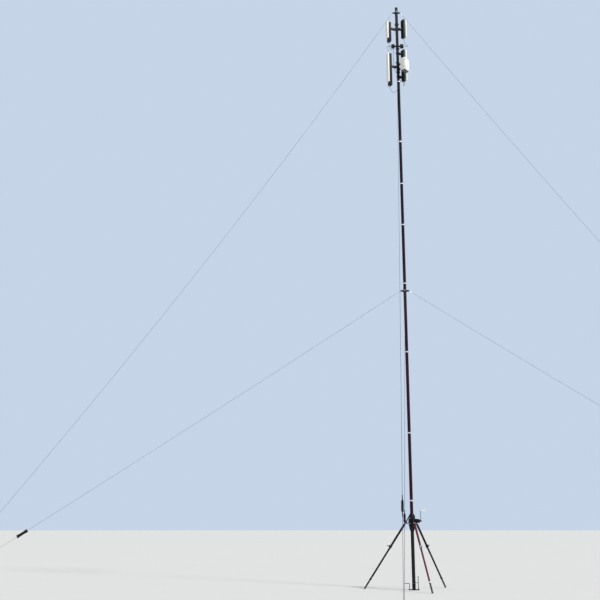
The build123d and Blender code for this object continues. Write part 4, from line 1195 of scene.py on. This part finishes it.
class MakePanels(bpy.types.Operator):
    """Radome end caps, gaskets and screws, and the brackets that carry the panels with their bolts."""

    bl_idname = "mast.panels"
    bl_label = "Antenna panels"

    @staticmethod
    def cheeks(name, azimuth, height, plate):
        """Two tapered plates along an arm's sides, and the places of their bolts."""
        start = BAND_RADIUS + 0.004
        tall, low = CHEEK_HALVES
        outline = rounded(((start, -tall), (plate, -low), (plate, low), (start, tall)), 0.006, 3)
        reach = BRACKET_ARM_HALF + CHEEK_THICKNESS
        plates = Shape()
        fasteners = []
        for side in (-1.0, 1.0):
            inner = BRACKET_ARM_HALF if side > 0.0 else -reach
            place = shifted(upright(azimuth, height) @ QUARTER_TURN, 0.0, 0.0, inner)
            plates.prism(outline, CHEEK_THICKNESS, place, bevel=0.0008)
            heading = outward(azimuth + 90.0) * side
            for radius, rise in ((start + 0.014, -0.02), (start + 0.014, 0.02), (plate - 0.016, 0.0)):
                fasteners.append((outward(azimuth, radius, height + rise) + heading * reach, heading))
        plates.piece(f"bracket_cheeks_{name}_{round(height * 1000)}", "black_steel", "mast")
        return fasteners

    @staticmethod
    def shell(name, azimuth, back, low, high):
        """The end caps of a radome and the gasket behind it."""
        half = PANEL_WIDTH / 2.0
        side, front = half + CAP_GROWTH, back + RADOME_DEPTH + CAP_GROWTH
        seat, corner = back - 0.0005, RADOME_CORNER + CAP_GROWTH
        corners = ((seat, -side), (front, -side), (front, side), (seat, side))
        outline = rounded(corners, (0.0006, corner, corner, 0.0006))
        caps = Shape()
        for start in (low - CAP_GROWTH, high + RADOME_OVERHANG + CAP_GROWTH - CAP_HEIGHT):
            caps.prism(outline, CAP_HEIGHT, upright(azimuth, start), bevel=0.0016)
        caps.piece(f"radome_caps_{name}", "white_plastic", "mast")
        lip, inner, outer = half - 0.0018, back - 0.0016, back + 0.001
        strip = ((inner, -lip), (outer, -lip), (outer, lip), (inner, lip))
        gasket = Shape()
        gasket.prism(strip, high - low + 0.002, upright(azimuth, low - 0.001), bevel=0.0004)
        gasket.piece(f"radome_gasket_{name}", "foot_rubber", "mast")

    def execute(self, context):
        housing_half = PANEL_WIDTH / 2.0 - RADOME_OVERHANG
        bolt_across, bolt_rise = PLATE_BOLTS
        for (side, level), panel in PANELS.items():
            azimuth = PANEL_AZIMUTHS[side]
            behind = azimuth + 180.0
            away, across = outward(azimuth), outward(azimuth + 90.0)
            low, high = panel_span(side, level)
            radome_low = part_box(f"radome_{side}_{level}")[0].z
            back = panel["inner"] + HOUSING_DEPTH
            plate = panel["inner"] - BRACKET_PLATE[2]
            name = f"{side}_{level}"
            dress(0.002, f"radome_{name}")
            dress(0.0008, f"housing_{name}")
            self.shell(name, azimuth, back, radome_low, high)
            skin_middle = back - HOUSING_SKIN / 2.0
            screws = []
            for step, direction in product(range(HOUSING_SCREW_ROWS), (-1.0, 1.0)):
                height = low + (high - low) * (step + 0.5) / HOUSING_SCREW_ROWS
                point = outward(azimuth, skin_middle, height) + across * (direction * housing_half)
                screws.append((point, across * direction))
            bolts(
                f"housing_screws_{name}", screws, "mast", head=0.0035, height=0.0025,
                finish="dark_clamp_metal",
            )
            fasteners = []
            for height in panel["brackets"]:
                for rise, offset in product((-bolt_rise, bolt_rise), (-bolt_across, bolt_across)):
                    point = outward(azimuth, plate, height + rise) + across * offset
                    fasteners.append((point, away * -1.0))
                for rise in (-CLAMP_BOLT_RISE, CLAMP_BOLT_RISE):
                    fasteners.append((outward(behind, BAND_RADIUS, height + rise), outward(behind)))
                tie = outward(azimuth, BAND_RADIUS + TIE_BAND_LUG, height + TIE_BAND_RISE)
                fasteners.append((tie, away))
                fasteners += self.cheeks(name, azimuth, height, plate)
            bolts(
                f"bracket_bolts_{name}", fasteners, "mast", head=0.006, height=0.0045,
                finish="dark_clamp_metal",
            )
        dress(0.0012, "brackets_left", "brackets_right")
        return {"FINISHED"}


# The radio box's door: its margin at each side, and how much smaller its raised middle is than the box
DOOR_MARGIN = 0.012
DOOR_PANEL_MARGINS = (0.06, 0.075)
LATCH = (0.015, 0.04, 0.003)
LATCH_RISES = (-0.11, 0.11)
HINGE_RISES = (-0.12, 0.0, 0.12)
HINGE_KNUCKLE = (
    (0.0, -0.02), (0.0038, -0.02), (0.0048, -0.019), (0.0048, 0.019), (0.0038, 0.02), (0.0, 0.02),
)
# How far the dark plate under the box, which stands for the shade there, is inset from its sides
BOX_SHADE_PLATE_INSET = 0.016
DOOR_BOLTS = (0.075, 0.152)


class MakeRadioBox(bpy.types.Operator):
    """The radio box's door with its gasket, latches and hinges, a dark plate under it as painted shade, and
    its bracket bolts.
    """

    bl_idname = "mast.radio_box"
    bl_label = "Radio box"

    def execute(self, context):
        dress(0.002, "radio_box")
        dress(0.0012, "radio_bracket")
        away, across = outward(BOX_AZIMUTH), outward(BOX_AZIMUTH + 90.0)
        width, height = BOX_SIDES[1] - BOX_SIDES[0], BOX_SPAN[1] - BOX_SPAN[0]
        middle = outward(BOX_AZIMUTH, BOX_FACE + BOX_DEPTH, sum(BOX_SPAN) / 2.0)
        face = facing(middle + across * (sum(BOX_SIDES) / 2.0), away)
        door_width, door_height = width - 2.0 * DOOR_MARGIN, height - 2.0 * DOOR_MARGIN
        gasket = Shape()
        gasket.prism(rectangle(door_width + 0.005, door_height + 0.005, 0.013), 0.0012, face, bevel=0.0003)
        gasket.piece("radio_box_gasket", "foot_rubber", "mast")
        door = Shape()
        sheet = rectangle(door_width, door_height, 0.012)
        door.prism(sheet, 0.005, shifted(face, 0.0, 0.0, 0.001), bevel=0.0018)
        raised = rectangle(width - DOOR_PANEL_MARGINS[0], height - DOOR_PANEL_MARGINS[1], 0.01)
        door.prism(raised, 0.0018, shifted(face, 0.0, 0.0, 0.0058), bevel=0.0012)
        door.piece("radio_box_door", "white_paint", "mast")
        hardware = Shape()
        latch_place = DOOR_MARGIN + 0.008 - width / 2.0
        hinge_place = width / 2.0 - DOOR_MARGIN + 0.0035
        for rise in LATCH_RISES:
            hardware.prism(rectangle(*LATCH), 0.0095, shifted(face, latch_place, rise, 0.005), bevel=0.0016)
        for rise in HINGE_RISES:
            pin = shifted(face, hinge_place, rise, 0.0035) @ QUARTER_TURN
            hardware.lathe(HINGE_KNUCKLE, pin, segments=20)
        hardware.piece("radio_box_latches", "bright_metal", "mast")
        # A dark plate under the box stands in for the shade beneath it: painted shade
        base = Shape()
        under = shifted(upright(BOX_AZIMUTH, BOX_SPAN[0] - 0.002), BOX_FACE + BOX_DEPTH / 2.0, 0.0, 0.0)
        outline = rectangle(BOX_DEPTH - BOX_SHADE_PLATE_INSET, width - BOX_SHADE_PLATE_INSET, 0.01)
        base.prism(outline, 0.003, under, bevel=0.0008)
        base.piece("radio_box_shade_plate", "foot_rubber", "mast")
        bolt_across, bolt_rise = DOOR_BOLTS
        places = [
            (face @ Vector((x, y, 0.006)), away)
            for x, y in product((-bolt_across, bolt_across), (-bolt_rise, bolt_rise))
        ]
        for band in BOX_BANDS:
            places.append((outward(BOX_AZIMUTH + 180.0, BAND_RADIUS, band), away * -1.0))
        bolts("radio_box_bolts", places, "mast", head=0.0055, height=0.004)
        return {"FINISHED"}


def panel_port(side, level, end="bottom"):
    """A port under or on top of a panel's housing, and the way that it points."""
    low, high = panel_span(side, level)
    height, heading = (low, DOWN) if end == "bottom" else (high, UP)
    return outward(PANEL_AZIMUTHS[side], PANELS[(side, level)]["inner"] + PANEL_PORT_DEPTH, height), heading


def under_port(inset):
    """A port under the left junction box."""
    return outward(180.0, JUNCTION_REACH - inset, JUNCTION_SPAN[0]), DOWN


def outer_port(azimuth):
    """The port on a junction box's outer face."""
    return outward(azimuth, JUNCTION_REACH, sum(JUNCTION_SPAN) / 2.0), outward(azimuth)


def box_port(radius, across):
    """A port under the radio box."""
    return outward(BOX_AZIMUTH, radius, BOX_SPAN[0]) + outward(BOX_AZIMUTH + 90.0) * across, DOWN


# Each jumper cable: its ports, the points between them measured from the top of the mast, and its length
JUMPERS = {
    "jumper_left_upper": (
        panel_port("left", "upper"),
        [
            (-0.224, -0.074, -1.21), (-0.207, -0.055, -1.262), (-0.188, -0.04, -1.308),
            (-0.162, -0.018, -1.314),
        ],
        under_port(0.018), 0.3,
    ),
    "jumper_left_lower": (
        outer_port(180.0),
        [
            (-0.262, -0.018, -1.188), (-0.292, -0.05, -1.216), (-0.296, -0.086, -1.262),
            (-0.272, -0.1, -1.316), (-0.252, -0.094, -1.362),
        ],
        panel_port("left", "lower", "top"), 0.36,
    ),
    "jumper_right_upper": (
        panel_port("right", "upper"),
        [
            (0.204, 0.098, -0.992), (0.236, 0.098, -1.05), (0.272, 0.082, -1.104), (0.286, 0.05, -1.15),
            (0.264, 0.018, -1.178),
        ],
        outer_port(0.0), 0.395,
    ),
    "jumper_right_lower": (
        panel_port("right", "lower"),
        [
            (0.166, 0.074, -2.3), (0.148, 0.046, -2.344), (0.134, 0.008, -2.356), (0.128, -0.036, -2.33),
            (0.134, -0.072, -2.276), (0.154, -0.096, -2.214), (0.182, -0.11, -2.15), (0.2, -0.115, -2.106),
        ],
        box_port(0.235, 0.04), 0.56,
    ),
    "jumper_box_left": (
        panel_port("left", "lower"),
        [
            (-0.224, -0.092, -2.53), (-0.176, -0.094, -2.606), (-0.118, -0.088, -2.616),
            (-0.066, -0.08, -2.556), (-0.026, -0.076, -2.474), (0.004, -0.08, -2.39),
            (0.032, -0.092, -2.306), (0.06, -0.112, -2.228), (0.086, -0.142, -2.158),
            (0.106, -0.174, -2.106),
        ],
        box_port(0.215, -0.075), 0.9,
    ),
    "jumper_box_junction": (
        under_port(0.05),
        [
            (-0.114, -0.006, -1.4), (-0.118, -0.004, -1.5), (-0.114, 0.002, -1.61), (-0.118, -0.002, -1.72),
            (-0.112, 0.004, -1.825), (-0.094, -0.028, -1.92), (-0.072, -0.056, -1.996),
            (-0.032, -0.08, -2.05), (0.02, -0.092, -2.082), (0.066, -0.108, -2.104),
            (0.112, -0.138, -2.104),
        ],
        box_port(0.215, -0.03), 1.07,
    ),
}


class MakeJumpers(bpy.types.Operator):
    """The six jumper cables, each one smooth curve from port to port."""

    bl_idname = "mast.jumpers"
    bl_label = "Jumper cables"

    def execute(self, context):
        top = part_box("top_cap")[1].z
        for name, (start, middle, end, length) in JUMPERS.items():
            first = start[0] + start[1] * (CONNECTOR_LENGTH + JUMPER_GAP)
            last = end[0] + end[1] * (CONNECTOR_LENGTH + JUMPER_GAP)
            hung = [Vector((x, y, top + drop)) for x, y, drop in middle]
            points = [first, first + start[1] * JUMPER_LEAD, *hung, last + end[1] * JUMPER_LEAD, last]
            curve = bpy.data.curves.new(f"{name}_hung", "CURVE")
            curve.dimensions = "3D"
            curve.bevel_depth = JUMPER_RADIUS
            curve.bevel_resolution = 3
            curve.resolution_u = 8
            curve.use_fill_caps = True
            spline = curve.splines.new("NURBS")
            spline.points.add(len(points) - 1)
            for control, point in zip(spline.points, points):
                control.co = (*point, 1.0)
            spline.order_u = 3
            spline.use_endpoint_u = True
            curve.materials.append(FINISHES["cable_jacket"])
            cable = bpy.data.objects.new(f"{name}_hung", curve)
            bpy.context.scene.collection.objects.link(cable)
            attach(cable, "mast")
            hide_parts(name)
        return {"FINISHED"}


# Radius of the boot where a cable leaves its connector, by the distance along the cable
BOOT = ((0.0, 0.0078), (0.006, 0.0076), (0.009, 0.0064), (0.026, 0.0052), (0.03, 0.0047))


def boot_radius(distance):
    """The boot's radius at a distance along the cable."""
    for (start, wide), (end, narrow) in zip(BOOT, BOOT[1:]):
        if distance <= end:
            return wide + (narrow - wide) * (distance - start) / (end - start)
    return BOOT[-1][1]


def route(name):
    """Points along a jumper's own curve, read from it without its thickness."""
    curve = bpy.data.objects[f"{name}_hung"].data.copy()
    curve.bevel_depth = 0.0
    curve.resolution_u = 24
    holder = bpy.data.objects.new("route", curve)
    line = bpy.data.meshes.new_from_object(holder)
    points = [vertex.co.copy() for vertex in line.vertices]
    bpy.data.objects.remove(holder)
    bpy.data.curves.remove(curve)
    bpy.data.meshes.remove(line)
    return points


# The junction boxes' lids with their screws, as (across, up)
JUNCTION_LID = (0.078, 0.09, 0.01)
JUNCTION_LID_DEPTH = 0.0028
JUNCTION_SCREWS = (0.0325, 0.0385)
# A connector's coupling ring and the inside of its nut, from its port
COUPLING_RING = ((0.0085, 0.023), (0.0102, 0.0235), (0.0102, 0.028), (0.0092, 0.0296), (0.0085, 0.0296))
NUT_BORE = 0.0085


def nut_profile():
    """The outline of a connector's knurled nut, with four ridges."""
    profile = [(NUT_BORE, 0.005)]
    for step in range(4):
        start = 0.006 + 0.003 * step
        profile += [
            (0.0106, start), (0.011, start + 0.0006), (0.011, start + 0.0016), (0.0106, start + 0.0022),
        ]
    return profile + [(NUT_BORE, 0.0185)]


class MakeConnectors(bpy.types.Operator):
    """Lids on the junction boxes, knurled nuts on every connector and boots where the cables leave."""

    bl_idname = "mast.connectors"
    bl_label = "Connectors"

    def execute(self, context):
        dress(0.0012, "cable_junctions")
        lids = Shape()
        screws = []
        across, rise = JUNCTION_SCREWS
        for azimuth in (0.0, 180.0):
            away = outward(azimuth)
            face = facing(outward(azimuth, JUNCTION_REACH - SEAT_DEPTH, sum(JUNCTION_SPAN) / 2.0), away)
            lids.prism(rectangle(*JUNCTION_LID), JUNCTION_LID_DEPTH, face, bevel=0.001)
            for x, y in product((-across, across), (-rise, rise)):
                screws.append((face @ Vector((x, y, JUNCTION_LID_DEPTH)), away))
        lids.piece("junction_lids", "black_plastic", "mast")
        bolts("junction_screws", screws, "mast", head=0.0026, height=0.0018)
        nuts = Shape()
        for start, _, end, _ in JUMPERS.values():
            for point, heading in (start, end):
                for profile in (nut_profile(), COUPLING_RING):
                    nuts.lathe(profile, facing(point, heading), segments=20)
        nuts.piece("connector_nuts", "steel_bolt", "mast")
        boots = Shape()
        for name in JUMPERS:
            path = route(name)
            for points in (path, path[::-1]):
                lengths = [0.0]
                for before, after in zip(points, points[1:]):
                    reached = lengths[-1] + (after - before).length
                    if reached > BOOT[-1][0]:
                        break
                    lengths.append(reached)
                boots.tube(points[:len(lengths)], [boot_radius(distance) for distance in lengths], 16)
        boots.piece("connector_boots", "foot_rubber", "mast")
        return {"FINISHED"}


class MakeFinishes(bpy.types.Operator):
    """Gives the solids that stay as they are their own finishes."""

    bl_idname = "mast.finishes"
    bl_label = "Finishes"

    def execute(self, context):
        make_finishes(context.scene.mast_colours)
        for node, thing in frame["nodes"].items():
            material = FINISHES[OWN_FINISHES.get(node, SLOT_OF_NODE[node])]
            for slot in thing.material_slots:
                slot.material = material
            if not thing.material_slots:
                thing.data.materials.append(material)
        return {"FINISHED"}


class MakeStage(bpy.types.Operator):
    """The camera, a plain pale floor, a pale backdrop and soft light from the front right."""

    bl_idname = "mast.stage"
    bl_label = "Stage"

    def execute(self, context):
        lights = context.scene.mast_lights
        scene = bpy.context.scene
        scene.view_settings.view_transform = "Standard"
        camera = bpy.data.cameras.new("view")
        camera.lens = CAMERA_LENS
        camera.clip_end = CAMERA_REACH
        holder = bpy.data.objects.new("view", camera)
        holder.location = CAMERA_PLACE
        holder.rotation_euler = (math.radians(90.0 + CAMERA_PITCH), 0.0, math.radians(CAMERA_TURN))
        scene.collection.objects.link(holder)
        scene.camera = holder

        floor = bpy.data.meshes.new("floor")
        rim = [outward(360.0 * step / FLOOR_SIDES, FLOOR_REACH) for step in range(FLOOR_SIDES)]
        floor.from_pydata([tuple(point) for point in rim], [], [tuple(range(FLOOR_SIDES))])
        ground = Finish("floor_pale", roughness=0.9)
        darker, plain = rgba(lights.floor_colour, 0.98), rgba(lights.floor_colour)
        ground.feed(base_color=ground.blend(ground.noise(0.4), darker, plain))
        floor.materials.append(ground.material)
        floor_object = bpy.data.objects.new("floor", floor)
        scene.collection.objects.link(floor_object)

        world = bpy.data.worlds.new("backdrop")
        world.use_nodes = True
        scene.world = world
        sky = Nodes(world.node_tree)
        sky.tree.nodes.clear()
        direct, glossy, through = (
            sky.node("ShaderNodeLightPath", output=f"Is {kind} Ray")
            for kind in ("Camera", "Glossy", "Transmission")
        )
        fill = {"Color": rgba((1.0, 1.0, 1.0)), "Strength": lights.fill_strength}
        seen = {"Color": rgba(lights.backdrop_colour), "Strength": 1.0}
        light = sky.node("ShaderNodeBackground", None, fill)
        backdrop = sky.node("ShaderNodeBackground", None, seen)
        amount = direct.highest(glossy.highest(through))
        mixed = sky.node("ShaderNodeMixShader", None, {0: amount, 1: light, 2: backdrop})
        output = sky.tree.nodes.new("ShaderNodeOutputWorld")
        sky.tree.links.new(mixed.socket, output.inputs["Surface"])

        sun = bpy.data.lights.new("key", "SUN")
        sun.energy = lights.key_strength
        sun.angle = lights.key_softness
        lamp = bpy.data.objects.new("key", sun)
        lamp.rotation_euler = facing((0.0, 0.0, 0.0), outward(*KEY_LIGHT_FROM)).to_euler()
        scene.collection.objects.link(lamp)
        return {"FINISHED"}


def colour_property(name, description, default):
    """A colour that the user can set."""
    return FloatVectorProperty(
        name=name, description=description, subtype="COLOR", size=3, min=0.0, max=1.0, default=default
    )


class MastColours(bpy.types.PropertyGroup):
    """Base colours of the mast's finishes."""

    # The tubes' paint darkens towards the top as painted shade, so this is its colour low down
    mast_paint: colour_property("Mast paint", "Satin paint of the lower tubes", (0.024, 0.003, 0.01))
    # Two legs take a dark copy of one dark maroon paint as painted shade, and the near leg a lit copy of it
    # as painted sunlight
    leg_paint: colour_property("Leg paint", "Satin paint of two of the tripod legs", (0.009, 0.004, 0.005))
    near_leg_paint: colour_property(
        "Near leg paint", "Satin paint of the near tripod leg", (0.075, 0.015, 0.024)
    )
    black_paint: colour_property("Black paint", "Paint of the steel and the castings", (0.008, 0.008, 0.01))
    green_paint: colour_property("Grey-green paint", "Backs of the right panels", (0.13, 0.17, 0.14))
    bright_metal: colour_property("Bright metal", "Rings, clamps and shackles", (0.8, 0.81, 0.83))
    white_shell: colour_property("White shell", "Radomes and the radio box", (0.84, 0.84, 0.82))
    guy_line: colour_property("Guy line", "Braided guys and their spare line", (0.03, 0.03, 0.034))


class MastLines(bpy.types.PropertyGroup):
    """The spare line on the winders."""

    turns: IntProperty(
        name="Turns", description="Turns of spare line on each winder", default=27, min=6, max=40
    )


class MastLights(bpy.types.PropertyGroup):
    """The stage that the mast is shown on."""

    key_strength: FloatProperty(
        name="Key light", description="Strength of the key light", default=3.0, min=0.0
    )
    key_softness: FloatProperty(
        name="Key softness", description="Width of the key light", subtype="ANGLE",
        default=math.radians(9.0), min=0.0,
    )
    fill_strength: FloatProperty(
        name="Fill light", description="Strength of the light from all round", default=0.5, min=0.0
    )
    floor_colour: colour_property("Floor", "Colour of the plain floor", (0.66, 0.66, 0.65))
    backdrop_colour: colour_property("Backdrop", "Colour behind the mast", (0.56, 0.66, 0.8))


SETTINGS = {"mast_colours": MastColours, "mast_lines": MastLines, "mast_lights": MastLights}
OPERATORS = (
    MakeStage, MakeFinishes, MakeJumpers, MakeConnectors, MakeGuyLines, MakeWinders, MakeGuyFittings,
    MakeRings, MakeBase, MakeLegs, MakeHead, MakePanels, MakeRadioBox,
)


class MastPanel(bpy.types.Panel):
    """Lists the mast's settings and its pieces in the order in which they are made."""

    bl_idname = "VIEW3D_PT_mast"
    bl_label = "Radio Mast"
    bl_space_type = "VIEW_3D"
    bl_region_type = "UI"
    bl_category = "Mast"

    def draw(self, context):
        for name in SETTINGS:
            group = getattr(context.scene, name)
            for field in group.bl_rna.properties:
                if field.identifier in group.__annotations__:
                    self.layout.prop(group, field.identifier)
        for maker in OPERATORS:
            self.layout.operator(maker.bl_idname)


def register():
    for kind in (*SETTINGS.values(), *OPERATORS, MastPanel):
        bpy.utils.register_class(kind)
    for name, group in SETTINGS.items():
        setattr(bpy.types.Scene, name, PointerProperty(type=group))


def unregister():
    for name in SETTINGS:
        delattr(bpy.types.Scene, name)
    for kind in (MastPanel, *reversed(OPERATORS), *reversed(SETTINGS.values())):
        bpy.utils.unregister_class(kind)


def main():
    register()
    for maker in OPERATORS:
        category, name = maker.bl_idname.split(".")
        getattr(getattr(bpy.ops, category), name)()


if __name__ == "__main__":
    main()
